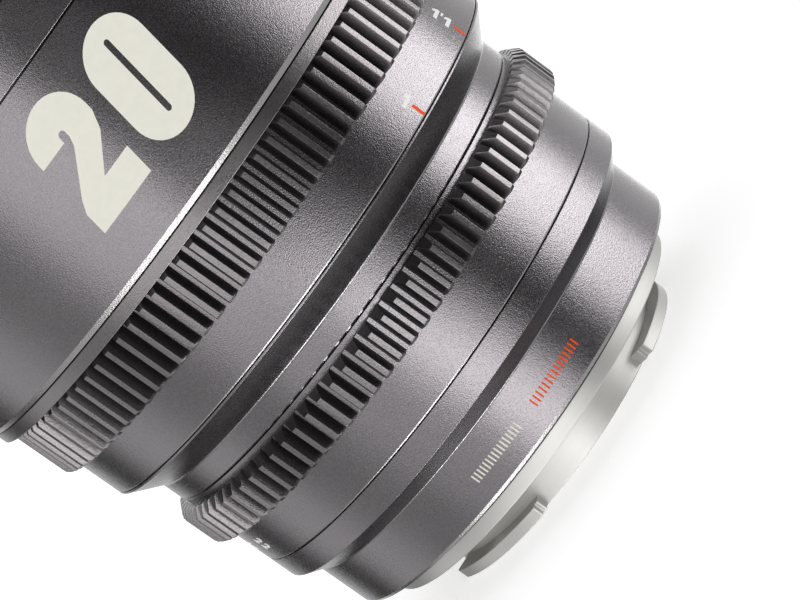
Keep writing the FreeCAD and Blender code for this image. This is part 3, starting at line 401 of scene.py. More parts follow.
@dataclass(frozen=True)
class TurnedMetal:
    """Metal with a lathe tool's fine grooves round it, which stretch its gloss along the axis."""

    name: str
    colour: Colour
    roughness: float = 0.27
    grooves: float = 7000.0
    groove_depth: float = 0.0000035
    metallic: float = 1.0
    variation: float = 0.10
    stretch: float = 0.0
    grooves_in_band: float = 12.0
    groove_run: float = 0.004
    band_run: float = 0.02
    stain_scale: float = 160.0
    tone_shares: tuple[float, float, float] = (0.5, 0.3, 0.2)
    relief_shares: Pair = (0.7, 0.3)
    stain_gloss: float = 0.12
    band_gloss: float = 0.10
    stretch_turn: float = 0.25

    def make(self) -> bpy.types.Material:
        """Builds the material.

        Returns:
            The material.
        """
        recipe = Recipe(self.name)
        band_scale = self.grooves / self.grooves_in_band
        lines = recipe.noise(self.grooves, roughness=0.6, at=recipe.turned_place(self.groove_run))
        bands = recipe.noise(band_scale, at=recipe.turned_place(self.band_run))
        stains = recipe.noise(self.stain_scale, detail=4.0)
        stain_share, line_share, band_share = self.tone_shares
        tone = (stains * stain_share + lines * line_share + bands * band_share).clamped()
        spread = 1.0 - self.variation, 1.0 + self.variation
        gloss = stains.swing(self.stain_gloss) + bands.swing(self.band_gloss)
        recipe.set(
            Base_Color=recipe.varied(tone, self.colour, spread),
            Metallic=self.metallic,
            Roughness=gloss + self.roughness,
            Anisotropic=self.stretch,
            Anisotropic_Rotation=self.stretch_turn,
        )
        fine, broad = self.relief_shares
        recipe.relief(lines * fine + bands * broad, self.groove_depth)
        return recipe.material


@dataclass(frozen=True)
class MattBlack:
    """Matt black against stray light."""

    name: str = "matt_black"
    colour: Colour = (0.012, 0.012, 0.013)
    roughness: float = 0.62
    spread: Pair = (0.8, 1.3)
    speckle_scale: float = 5200.0
    speckle_depth: float = 0.000008
    dust_scale: float = 300.0
    dust_gloss: float = 0.2

    def make(self) -> bpy.types.Material:
        """Builds the material.

        Returns:
            The material.
        """
        recipe = Recipe(self.name)
        speckle = recipe.noise(self.speckle_scale, detail=3.0, roughness=0.6)
        dust = recipe.noise(self.dust_scale, detail=4.0)
        recipe.set(
            Base_Color=recipe.varied(speckle, self.colour, self.spread),
            Metallic=0.0,
            Roughness=dust.swing(self.dust_gloss) + self.roughness,
        )
        recipe.relief(speckle, self.speckle_depth)
        return recipe.material


@dataclass(frozen=True)
class Paint:
    """Printed or filled paint, with the pinholes and slight unevenness of a thin film."""

    name: str
    colour: Colour
    roughness: float = 0.48
    spread: Pair = (0.95, 1.04)
    film_scale: float = 900.0
    film_gloss: float = 0.15
    pinhole_scale: float = 6000.0
    pinhole_depth: float = 0.000004
    shine: float = 0.06

    def make(self) -> bpy.types.Material:
        """Builds the material.

        Returns:
            The material.
        """
        recipe = Recipe(self.name)
        film = recipe.noise(self.film_scale, detail=3.0)
        pinholes = recipe.noise(self.pinhole_scale)
        recipe.set(
            Base_Color=recipe.varied(film, self.colour, self.spread),
            Metallic=0.0,
            Roughness=film.swing(self.film_gloss) + self.roughness,
            Specular_IOR_Level=self.shine,
        )
        recipe.relief(pinholes, self.pinhole_depth)
        return recipe.material


@dataclass(frozen=True)
class Plastic:
    """Moulded plastic with a faint skin."""

    name: str
    colour: Colour
    roughness: float = 0.35
    coat: float = 0.0
    coat_roughness: float = 0.05
    spread: Pair = (0.9, 1.1)
    skin_scale: float = 1500.0
    skin_depth: float = 0.000004
    skin_gloss: float = 0.1

    def make(self) -> bpy.types.Material:
        """Builds the material.

        Returns:
            The material.
        """
        recipe = Recipe(self.name)
        skin = recipe.noise(self.skin_scale, detail=3.0)
        recipe.set(
            Base_Color=recipe.varied(skin, self.colour, self.spread),
            Roughness=skin.swing(self.skin_gloss) + self.roughness,
            Coat_Weight=self.coat,
            Coat_Roughness=self.coat_roughness,
        )
        recipe.relief(skin, self.skin_depth)
        return recipe.material


@dataclass(frozen=True)
class CoatedGlass:
    """Polished optical glass with a thin coating that tints its reflections."""

    name: str = "coated_glass"
    darkest: Colour = (0.93, 0.97, 0.95)
    lightest: Colour = (0.98, 0.99, 0.99)
    index: float = 1.58
    film_thickness: float = 135.0
    film_index: float = 1.38
    haze_scale: float = 120.0
    haze_limits: Pair = (0.55, 0.9)
    haze_roughness: float = 0.015

    def make(self) -> bpy.types.Material:
        """Builds the material.

        Returns:
            The material.
        """
        recipe = Recipe(self.name)
        haze = recipe.noise(self.haze_scale, detail=4.0)
        recipe.set(
            Base_Color=recipe.tint(haze, self.darkest, self.lightest),
            Roughness=haze.smooth(*self.haze_limits) * self.haze_roughness,
            IOR=self.index,
            Transmission_Weight=1.0,
            Thin_Film_Thickness=self.film_thickness,
            Thin_Film_IOR=self.film_index,
        )
        return recipe.material


class Finishes:
    """Every finish on the lens, each made once."""

    def __init__(self) -> None:
        """Builds all materials."""
        self.anodised = Anodised().make()
        self.gear = Anodised("anodised_gear", (0.108, 0.1005, 0.103), 0.30).make()
        self.steel = TurnedMetal(
            "stainless_steel", (0.41, 0.406, 0.394), 0.60, 5200.0, 0.0000025, stretch=0.60
        ).make()
        self.bright_screw = TurnedMetal("bright_steel", (0.60, 0.60, 0.60), 0.22, 9000.0).make()
        self.dark_screw = TurnedMetal("blackened_steel", (0.045, 0.045, 0.05), 0.35, 9000.0).make()
        self.ground_steel = TurnedMetal("ground_steel", (0.50, 0.50, 0.50), 0.30).make()
        self.shim = TurnedMetal("dark_shim", (0.035, 0.035, 0.037), 0.45).make()
        self.blade = TurnedMetal("blade_steel", (0.050, 0.050, 0.055), 0.42, 5000.0).make()
        self.brass = TurnedMetal("brass", (0.70, 0.52, 0.25), 0.25, 5000.0).make()
        self.alloy = TurnedMetal(
            "machined_alloy", (0.075, 0.075, 0.078), 0.38, 6000.0, metallic=0.8
        ).make()
        self.black = MattBlack().make()
        self.washer = Plastic("washer_plastic", (0.80, 0.80, 0.76), 0.5).make()
        self.bead = Plastic("red_bead", (0.75, 0.05, 0.02), 0.2, 0.6).make()
        self.glass = CoatedGlass().make()
        self.cream = Paint("cream_paint", (0.885, 0.87, 0.775)).make()
        self.white = Paint("white_paint", (0.98, 0.98, 0.95)).make()
        self.orange = Paint("orange_paint", (0.96, 0.088, 0.004)).make()

    def by_slot(self) -> dict[Slot, bpy.types.Material]:
        """The material of each slot of the record."""
        return {
            Slot.ANODISED: self.anodised,
            Slot.STAINLESS: self.steel,
            Slot.BRIGHT_SCREWS: self.bright_screw,
            Slot.DARK_SCREWS: self.dark_screw,
            Slot.SPRING_STEEL: self.ground_steel,
            Slot.BLACK_INNER: self.black,
            Slot.ALLOY_INNER: self.alloy,
            Slot.BRASS: self.brass,
            Slot.BEAD: self.bead,
            Slot.WASHER: self.washer,
            Slot.GLASS: self.glass,
            Slot.BLADES: self.blade,
        }


def around(radius: float, angle: float, height: float) -> Vector:
    """Point on the lens.

    Args:
        radius: Distance from the axis, in millimetres.
        angle: Degrees from the side with the numerals, towards +X.
        height: Millimetres from the flange.

    Returns:
        The point in millimetres.
    """
    turn = math.radians(angle)
    return Vector((radius * math.sin(turn), -radius * math.cos(turn), height))


def heights(node: str) -> tuple[float, float]:
    """Lowest and highest point of a CAD node, in millimetres."""
    low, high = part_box(node)
    return low.z / MM, high.z / MM


@dataclass(frozen=True)
class Corner:
    """A corner of a turned section, with the radius of its rounding."""

    radius: float
    height: float
    rounding: float = 0.0

    def point(self) -> Vector:
        """The corner in the plane of the section."""
        return Vector((self.radius, self.height))


@dataclass
class Turning:
    """A ring turned from a closed section, with rounded edges."""

    corners: Sequence[Corner]
    segments: int = FINE_SEGMENTS
    arc_steps: int = 5

    def _rounded(self, number: int) -> list[Vector]:
        """The points that stand for one corner.

        Args:
            number: The corner's place in the section.

        Returns:
            One point, or the points of the arc that rounds it.
        """
        corner = self.corners[number]
        here = corner.point()
        if corner.rounding <= 0.0:
            return [here]
        back = (self.corners[number - 1].point() - here).normalized()
        ahead = (self.corners[(number + 1) % len(self.corners)].point() - here).normalized()
        half = back.angle(ahead) / 2.0
        reach = corner.rounding / math.tan(half)
        start = here + back * reach
        end = here + ahead * reach
        centre = here + (back + ahead).normalized() * (corner.rounding / math.sin(half))
        arm_start = start - centre
        sweep = arm_start.angle_signed(end - centre)
        turns = [-sweep * step / self.arc_steps for step in range(self.arc_steps + 1)]
        return [centre + Matrix.Rotation(turn, 2) @ arm_start for turn in turns]

    def section(self) -> list[Vector]:
        """The section's points in order, with every rounding drawn out."""
        return [point for number in range(len(self.corners)) for point in self._rounded(number)]

    def build(self) -> bmesh.types.BMesh:
        """Turns the section round the axis. Its points on the axis become poles.

        Returns:
            A closed shape in millimetres.
        """
        shape = bmesh.new()
        section = self.section()
        poles = {
            number: shape.verts.new((0.0, 0.0, point.y))
            for number, point in enumerate(section) if point.x < ON_AXIS
        }
        rings = []
        for segment in range(self.segments):
            angle = FULL_TURN * segment / self.segments
            rings.append([
                poles[number] if number in poles
                else shape.verts.new(around(point.x, angle, point.y))
                for number, point in enumerate(section)
            ])
        for segment, ring in enumerate(rings):
            following = rings[(segment + 1) % self.segments]
            for number in range(len(section)):
                after = (number + 1) % len(section)
                corners = ring[number], ring[after], following[after], following[number]
                different = list(dict.fromkeys(corners))
                if len(different) > 2:
                    shape.faces.new(different)
        bmesh.ops.recalc_face_normals(shape, faces=shape.faces)
        return shape


def bright_edge(radius: float, height: float, rise: float = 0.16) -> list[Corner]:
    """Steep chamfer at the rear edge of a ring, at the angle that catches the light from below.

    Args:
        radius: The ring's radius.
        height: Height of its rear face.
        rise: How far the chamfer reaches up.

    Returns:
        Two corners of a section, the inner one first.
    """
    return [Corner(radius - EDGE_SLANT * rise, height), Corner(radius, height + rise)]


def mark_painted_highlight(mesh: bpy.types.Mesh) -> None:
    """Marks the narrow faces that lean to the rear as the bright edges do, for a painted
    highlight.

    Args:
        mesh: The mesh of a turned ring.
    """
    flattest, steepest = HIGHLIGHT_LEAN
    marks = mesh.attributes.new(HIGHLIGHT_EDGE, "FLOAT", "FACE")
    for face, mark in zip(mesh.polygons, marks.data):
        mark.value = 1.0 if flattest < face.normal.z < steepest else 0.0


def rod(
    radius: float, low: float, high: float, rounding: float = 0.0, segments: int = 40
) -> bmesh.types.BMesh:
    """Upright cylinder on the axis.

    Args:
        radius: Its radius, in millimetres.
        low: Height of its lower end.
        high: Height of its upper end.
        rounding: Radius of its two edges.
        segments: Faces round it.

    Returns:
        The shape in millimetres.
    """
    corners = [
        Corner(0.0, low), Corner(radius, low, rounding),
        Corner(radius, high, rounding), Corner(0.0, high),
    ]
    return Turning(corners, segments).build()


def moved(
    shape: bmesh.types.BMesh, radius: float, height: float, outward: bool = False
) -> bmesh.types.BMesh:
    """Moves a shape from the axis to angle 0.

    Args:
        shape: The shape, in millimetres.
        radius: How far out it goes.
        height: How far up it goes.
        outward: Whether its upright direction is laid outwards first.

    Returns:
        The same shape.
    """
    turn = Matrix.Rotation(math.radians(90.0 if outward else 0.0), 4, "X")
    place = Matrix.Translation(around(radius, 0.0, height))
    bmesh.ops.transform(shape, matrix=place @ turn, verts=shape.verts)
    return shape


class Bench:
    """Turns shapes into pieces of the frame, and counts them."""

    def __init__(self, nodes: dict[str, bpy.types.Object]) -> None:
        """Opens the bench.

        Args:
            nodes: The frame's CAD nodes by name.
        """
        self.nodes = nodes
        self.made = 0

    def mesh(self, shape: bmesh.types.BMesh, name: str) -> bpy.types.Mesh:
        """Writes a shape to a mesh, and frees the shape.

        Args:
            shape: The shape, in millimetres.
            name: The mesh's name.

        Returns:
            The mesh, in metres.
        """
        bmesh.ops.scale(shape, vec=(MM, MM, MM), verts=shape.verts)
        mesh = bpy.data.meshes.new(name)
        shape.to_mesh(mesh)
        shape.free()
        return mesh

    def evaluated(self, scratch: bpy.types.Object) -> bpy.types.Mesh:
        """The mesh that an object's modifiers make of it. The object is then removed.

        Args:
            scratch: An object that is linked to the scene.

        Returns:
            A plain mesh.
        """
        graph = bpy.context.evaluated_depsgraph_get()
        graph.update()
        mesh = bpy.data.meshes.new_from_object(scratch.evaluated_get(graph), depsgraph=graph)
        bpy.data.objects.remove(scratch)
        return mesh

    def loose(self, data: bpy.types.ID, name: str) -> bpy.types.Object:
        """Links data to the scene as an object that isn't a piece yet.

        Args:
            data: A mesh, curve, lamp or camera.
            name: The object's name.

        Returns:
            The new object.
        """
        item = bpy.data.objects.new(name, data)
        bpy.context.scene.collection.objects.link(item)
        return item

    def polished(self, mesh: bpy.types.Mesh, crease: float = 20.0) -> bpy.types.Mesh:
        """Smooths a mesh's shading so that flats stay flat and only its roundings bend the light.

        Args:
            mesh: The mesh to smooth.
            crease: Degrees between two faces beyond which their edge stays sharp.

        Returns:
            A plain mesh.
        """
        mesh.polygons.foreach_set("use_smooth", [True] * len(mesh.polygons))
        mesh.set_sharp_from_angle(angle=math.radians(crease))
        scratch = self.loose(mesh, "scratch")
        weighting = scratch.modifiers.new("weighting", "WEIGHTED_NORMAL")
        weighting.mode = "FACE_AREA"
        weighting.keep_sharp = True
        return self.evaluated(scratch)

    def bored(self, mesh: bpy.types.Mesh, drills: bpy.types.Mesh) -> bpy.types.Mesh:
        """Drills holes in a mesh.

        Args:
            mesh: The mesh to drill.
            drills: Closed shapes that fill the holes.

        Returns:
            A plain mesh with the holes.
        """
        tool = self.loose(drills, "drills")
        scratch = self.loose(mesh, "scratch")
        boring = scratch.modifiers.new("bore", "BOOLEAN")
        boring.operation = "DIFFERENCE"
        boring.solver = "EXACT"
        boring.object = tool
        result = self.evaluated(scratch)
        bpy.data.objects.remove(tool)
        return result

    def seat(
        self,
        name: str,
        mesh: bpy.types.Mesh,
        body: Body,
        slot: Slot,
        finish: bpy.types.Material,
        stands_for: Iterable[str] = (),
    ) -> bpy.types.Object:
        """Places a finished mesh as a piece of the lens.

        Args:
            name: The piece's name.
            mesh: Its mesh, in metres and in place.
            body: The body that it moves with.
            slot: The record's material slot. Not used.
            finish: Its material.
            stands_for: CAD nodes that it replaces.

        Returns:
            The new object.
        """
        piece = self.loose(mesh, name)
        mesh.materials.clear()
        mesh.materials.append(finish)
        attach(piece, body.value)
        if stands_for:
            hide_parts(*stands_for)
        self.made += 1
        LOG.info("%s: %d faces on %s", name, len(mesh.polygons), body.value)
        return piece

    def dress(self, node: str, finish: bpy.types.Material) -> None:
        """Gives a CAD node its finish.

        Args:
            node: The node's name.
            finish: Its material.
        """
        piece = self.nodes[node]
        piece.data.materials.clear()
        piece.data.materials.append(finish)


class ShapeTree(NodeKit):
    """A geometry node tree with named inputs that makes one plain mesh."""

    name: str = "shape"
    inputs: dict[str, str] = {}

    def __init__(self) -> None:
        """Builds the tree and keeps its sockets' identifiers."""
        super().__init__(bpy.data.node_groups.new(self.name, "GeometryNodeTree"))
        face = self.tree.interface
        for side in ("OUTPUT", "INPUT"):
            face.new_socket("Geometry", in_out=side, socket_type="NodeSocketGeometry")
        self.identifiers = {
            name: face.new_socket(name, in_out="INPUT", socket_type="NodeSocket" + kind).identifier
            for name, kind in {**self.inputs, "Finish": "Material"}.items()
        }
        self.given = self.add("NodeGroupInput")
        self.fill()

    def fill(self) -> None:
        """Adds the nodes between the inputs and the result."""
        raise NotImplementedError

    def end(self, geometry: bpy.types.NodeSocket) -> None:
        """Makes the geometry real, gives it the finish and ends the tree.

        Args:
            geometry: The socket that gives the geometry.
        """
        real = self.add("GeometryNodeRealizeInstances", sockets={0: geometry})
        sockets = {"Geometry": real.outputs[0], "Material": self.given.outputs["Finish"]}
        painted = self.add("GeometryNodeSetMaterial", sockets=sockets)
        self.add("NodeGroupOutput", sockets={0: painted.outputs[0]})

    def run(self, bench: Bench, mesh: bpy.types.Mesh, **values: Any) -> bpy.types.Mesh:
        """Runs the tree on a mesh.

        Args:
            bench: The bench that evaluates the result.
            mesh: What goes in.
            values: The named inputs, in metres and radians.

        Returns:
            A plain mesh.
        """
        scratch = bench.loose(mesh, "scratch")
        modifier = scratch.modifiers.new("shape", "NODES")
        modifier.node_group = self.tree
        for name, value in values.items():
            modifier[self.identifiers[name]] = value
        return bench.evaluated(scratch)


class ArrayTree(ShapeTree):
    """Sets copies of a mesh round the optical axis."""

    name: str = "round_the_axis"
    inputs: dict[str, str] = {"Count": "Int", "First": "Float", "Step": "Float"}

    def fill(self) -> None:
        """Points, a turn for each, and the copies on them."""
        given = self.given.outputs
        points = self.add("GeometryNodePoints", sockets={"Count": given["Count"]})
        number = self.add("GeometryNodeInputIndex")
        turn = self.add(
            "ShaderNodeMath", {"operation": "MULTIPLY_ADD"},
            {0: number.outputs[0], 1: given["Step"], 2: given["First"]},
        )
        vector = self.add("ShaderNodeCombineXYZ", sockets={"Z": turn.outputs[0]})
        rotation = self.add("FunctionNodeEulerToRotation", sockets={0: vector.outputs[0]})
        copies = self.add("GeometryNodeInstanceOnPoints", sockets={
            "Points": points.outputs[0], "Instance": given["Geometry"],
            "Rotation": rotation.outputs[0],
        })
        self.end(copies.outputs[0])

    def spread(
        self,
        bench: Bench,
        unit: bpy.types.Mesh,
        count: int,
        first: float,
        step: float,
        finish: bpy.types.Material,
    ) -> bpy.types.Mesh:
        """Sets copies of a mesh round the axis.

        Args:
            bench: The bench that evaluates the result.
            unit: The mesh to copy, drawn at angle 0.
            count: How many copies.
            first: Degrees of the first copy.
            step: Degrees from one copy to the next.
            finish: The copies' material.

        Returns:
            One plain mesh with all copies.
        """
        unit.materials.append(finish)
        turns = {"First": math.radians(first), "Step": math.radians(step)}
        return self.run(bench, unit, Count=count, Finish=finish, **turns)


class ThreadTree(ShapeTree):
    """Runs a pointed ridge along a screw line."""

    name: str = "screw_ridge"
    inputs: dict[str, str] = dict.fromkeys(("Radius", "Pitch", "Turns", "Ridge", "Low"), "Float")
    steps_in_turn: int = 120

    def fill(self) -> None:
        """The screw line, the ridge's section swept along it, and its height."""
        given = self.given.outputs
        rise = self.add(
            "ShaderNodeMath", {"operation": "MULTIPLY"}, {0: given["Pitch"], 1: given["Turns"]}
        )
        line = self.add("GeometryNodeCurveSpiral", sockets={
            "Resolution": self.steps_in_turn, "Rotations": given["Turns"],
            "Start Radius": given["Radius"], "End Radius": given["Radius"],
            "Height": rise.outputs[0],
        })
        section = self.add(
            "GeometryNodeCurvePrimitiveCircle", sockets={"Resolution": 3, "Radius": given["Ridge"]}
        )
        swept = self.add("GeometryNodeCurveToMesh", sockets={
            "Curve": line.outputs[0], "Profile Curve": section.outputs[0], "Fill Caps": True,
        })
        lift = self.add("ShaderNodeCombineXYZ", sockets={"Z": given["Low"]})
        sockets = {"Geometry": swept.outputs[0], "Translation": lift.outputs[0]}
        self.end(self.add("GeometryNodeTransform", sockets=sockets).outputs[0])


@dataclass(frozen=True)
class GearRim:
    """A follow-focus gear's rim of straight teeth.

    A chamfer is given by how far it goes in and up. The shares are the tooth's part of a pitch
    at its foot, half-way up and at its tip.
    """

    teeth: int
    low: float
    high: float
    first_angle: float
    rear_chamfer: Pair = (0.35, 0.40)
    front_chamfer: Pair = (0.50, 0.60)
    module: float = 0.8
    depth: float = 1.75
    shares: tuple[float, float, float] = (0.78, 0.59, 0.29)
    sunk_foot: float = 0.25
    edge: float = 0.07
    edge_steps: int = 2
    edge_profile: float = 0.6
    edge_angle: float = 25.0

    def tip(self) -> float:
        """Radius across the tips."""
        return self.module * (self.teeth + 2) / 2.0

    def root(self) -> float:
        """Radius of the floors between the teeth."""
        return self.tip() - self.depth

    def _half_width(self, radius: float) -> float:
        """Half the tooth's angle. Its flanks bend inwards half-way up.

        Args:
            radius: Where it is measured, in millimetres.

        Returns:
            The angle in degrees.
        """
        foot, middle, top = (share * (FULL_TURN / 2.0) / self.teeth for share in self.shares)
        rise = 2.0 * (radius - self.root()) / self.depth
        if rise < 1.0:
            return foot + (middle - foot) * rise
        return middle + (top - middle) * (rise - 1.0)

    def tooth(self) -> bmesh.types.BMesh:
        """One tooth at angle 0, with chamfered ends and soft edges, its foot sunk in the rim.

        Returns:
            A shape in millimetres, open at its foot.
        """
        levels = [
            (self.low, self.tip() - self.rear_chamfer[0]),
            (self.low + self.rear_chamfer[1], self.tip()),
            (self.high - self.front_chamfer[1], self.tip()),
            (self.high, self.tip() - self.front_chamfer[0]),
        ]
        sunk = self.root() - self.sunk_foot
        shape = bmesh.new()
        rows = []
        for height, radius in levels:
            reaches = (sunk, (self.root() + radius) / 2.0, radius)
            half = [(reach, self._half_width(reach)) for reach in reaches]
            places = [(reach, -width) for reach, width in half] + half[::-1]
            rows.append([
                shape.verts.new(around(reach, angle, height)) for reach, angle in places
            ])
        for lower, upper in zip(rows, rows[1:]):
            for number in range(len(lower) - 1):
                after = number + 1
                shape.faces.new((lower[number], lower[after], upper[after], upper[number]))
        shape.faces.new(rows[0])
        shape.faces.new(rows[-1])
        bmesh.ops.recalc_face_normals(shape, faces=shape.faces)
        open_foot = {row[end] for row in rows for end in (0, -1)}
        sharp = math.radians(self.edge_angle)
        soft = [
            edge for edge in shape.edges
            if not set(edge.verts) <= open_foot and edge.calc_face_angle(0.0) > sharp
        ]
        bmesh.ops.bevel(
            shape, geom=soft, offset=self.edge, segments=self.edge_steps,
            profile=self.edge_profile, affect="EDGES",
        )
        return shape


class Lens:
    """What every sub-assembly of the lens shares: the bench, the finishes and the node trees."""

    grub_radius: float = 0.8
    grub_depth: float = 1.6
    grub_circle: float = 35.2
    grub_angles: tuple[float, ...] = (100.0, 180.0, 260.0)
    tooth_crease: float = 35.0

    def __init__(self, bench: Bench, finishes: Finishes) -> None:
        """Keeps the tools at hand.

        Args:
            bench: Where pieces are made.
            finishes: The materials.
        """
        self.bench = bench
        self.finishes = finishes
        self.array = ArrayTree()
        self.thread = ThreadTree()

    def turn(
        self,
        name: str,
        corners: Sequence[Corner],
        body: Body,
        slot: Slot,
        finish: bpy.types.Material,
        stands_for: Iterable[str] = (),
        drills: bpy.types.Mesh | None = None,
    ) -> bpy.types.Object:
        """Turns a ring and seats it.

        Args:
            name: The piece's name.
            corners: Its section.
            body: The body that it moves with.
            slot: The record's material slot.
            finish: Its material.
            stands_for: CAD nodes that it replaces.
            drills: Closed shapes to bore out of it, if any.

        Returns:
            The new object.
        """
        mesh = self.bench.mesh(Turning(corners).build(), name)
        if drills:
            mesh = self.bench.bored(mesh, drills)
        mesh = self.bench.polished(mesh)
        # Marks the edge faces that get a painted highlight.
        mark_painted_highlight(mesh)
        return self.bench.seat(name, mesh, body, slot, finish, stands_for)

    def repeated(self, shape: bmesh.types.BMesh, angles: Sequence[float]) -> bpy.types.Mesh:
        """Sets copies of a shape round the axis.

        Args:
            shape: The shape at angle 0, in millimetres.
            angles: The angles, evenly spaced.

        Returns:
            A mesh in metres with a copy at each angle.
        """
        unit = self.bench.mesh(shape, "unit")
        step = (angles[-1] - angles[0]) / max(1, len(angles) - 1)
        finish = self.finishes.dark_screw
        return self.array.spread(self.bench, unit, len(angles), angles[0], step, finish)

    def grub_holes(self, node: str) -> bpy.types.Mesh:
        """Drills for the three radial holes of grub screws.

        Args:
            node: The CAD node of the screws, which gives the holes' height.

        Returns:
            Closed shapes that fill the holes.
        """
        low, high = heights(node)
        drill = rod(self.grub_radius, -self.grub_depth, self.grub_depth)
        drill = moved(drill, self.grub_circle, (low + high) / 2.0, True)
        return self.repeated(drill, self.grub_angles)

    def gear(self, name: str, rim: GearRim, body: Body) -> bpy.types.Object:
        """Sets a gear's teeth round its ring.

        Args:
            name: The piece's name.
            rim: The gear's sizes.
            body: The body that it moves with.

        Returns:
            The new object.
        """
        finish = self.finishes.gear
        unit = self.bench.polished(self.bench.mesh(rim.tooth(), name), self.tooth_crease)
        step = FULL_TURN / rim.teeth
        mesh = self.array.spread(self.bench, unit, rim.teeth, rim.first_angle, step, finish)
        return self.bench.seat(name, mesh, body, Slot.ANODISED, finish)


@dataclass
class RearEnd:
    """The rear barrel: slim end, sloping shoulder and wide collar."""

    lens: Lens
    slim_radius: float = 32.3
    wide_radius: float = 35.0
    inner_radius: float = 22.0
    seat_radius: float = 26.5
    seat_depth: float = 1.4
    sleeve_radius: float = 33.0
    sleeve_depth: float = 3.0
    rear_chamfer: float = 0.45
    step_low: float = 10.95
    step_high: float = 13.2
    step_rounding: float = 0.5
    edge: float = 0.12
    bead_angle: float = -135.0
    bead_height: float = 8.0
    bead_radius: float = 1.0
    bead_depth: float = 0.8
    bead_proud: float = 0.32
    bead_rounding: float = 0.3

    def build(self) -> None:
        """Makes the barrel and the bead in it."""
        self.barrel()
        self.bead()

    def barrel(self) -> None:
        """Barrel in one turned piece, with the holes of its grub screws."""
        low, high = heights("rear_barrel")
        foot = heights("mount_shim")[1]
        seat = low + self.seat_depth
        top = high + SEAM_CLOSE
        sleeve = high - self.sleeve_depth
        corners = [
            Corner(self.inner_radius, seat), Corner(self.seat_radius, seat),
            Corner(self.seat_radius, foot),
            *bright_edge(self.slim_radius, foot, self.rear_chamfer),
            Corner(self.slim_radius, self.step_low, self.step_rounding),
            Corner(self.wide_radius, self.step_high, self.edge),
            Corner(self.wide_radius, top, self.edge), Corner(self.sleeve_radius, top),
            Corner(self.sleeve_radius, sleeve), Corner(self.inner_radius, sleeve),
        ]
        self.lens.turn(
            "rear_barrel_shell", corners, Body.HOUSING, Slot.ANODISED,
            self.lens.finishes.anodised, ["rear_barrel"],
            self.lens.grub_holes("barrel_lock_screws"),
        )

    def bead(self) -> None:
        """Domed bead that shows how the mount lines up."""
        dome = rod(self.bead_radius, -self.bead_depth, self.bead_proud, self.bead_rounding)
        dome = moved(dome, self.slim_radius, self.bead_height, True)
        mesh = self.lens.bench.polished(self.lens.repeated(dome, (self.bead_angle,)))
        finish = self.lens.finishes.bead
        self.lens.bench.seat(
            "mount_bead", mesh, Body.HOUSING, Slot.BEAD, finish, ["mount_index_bead"]
        )


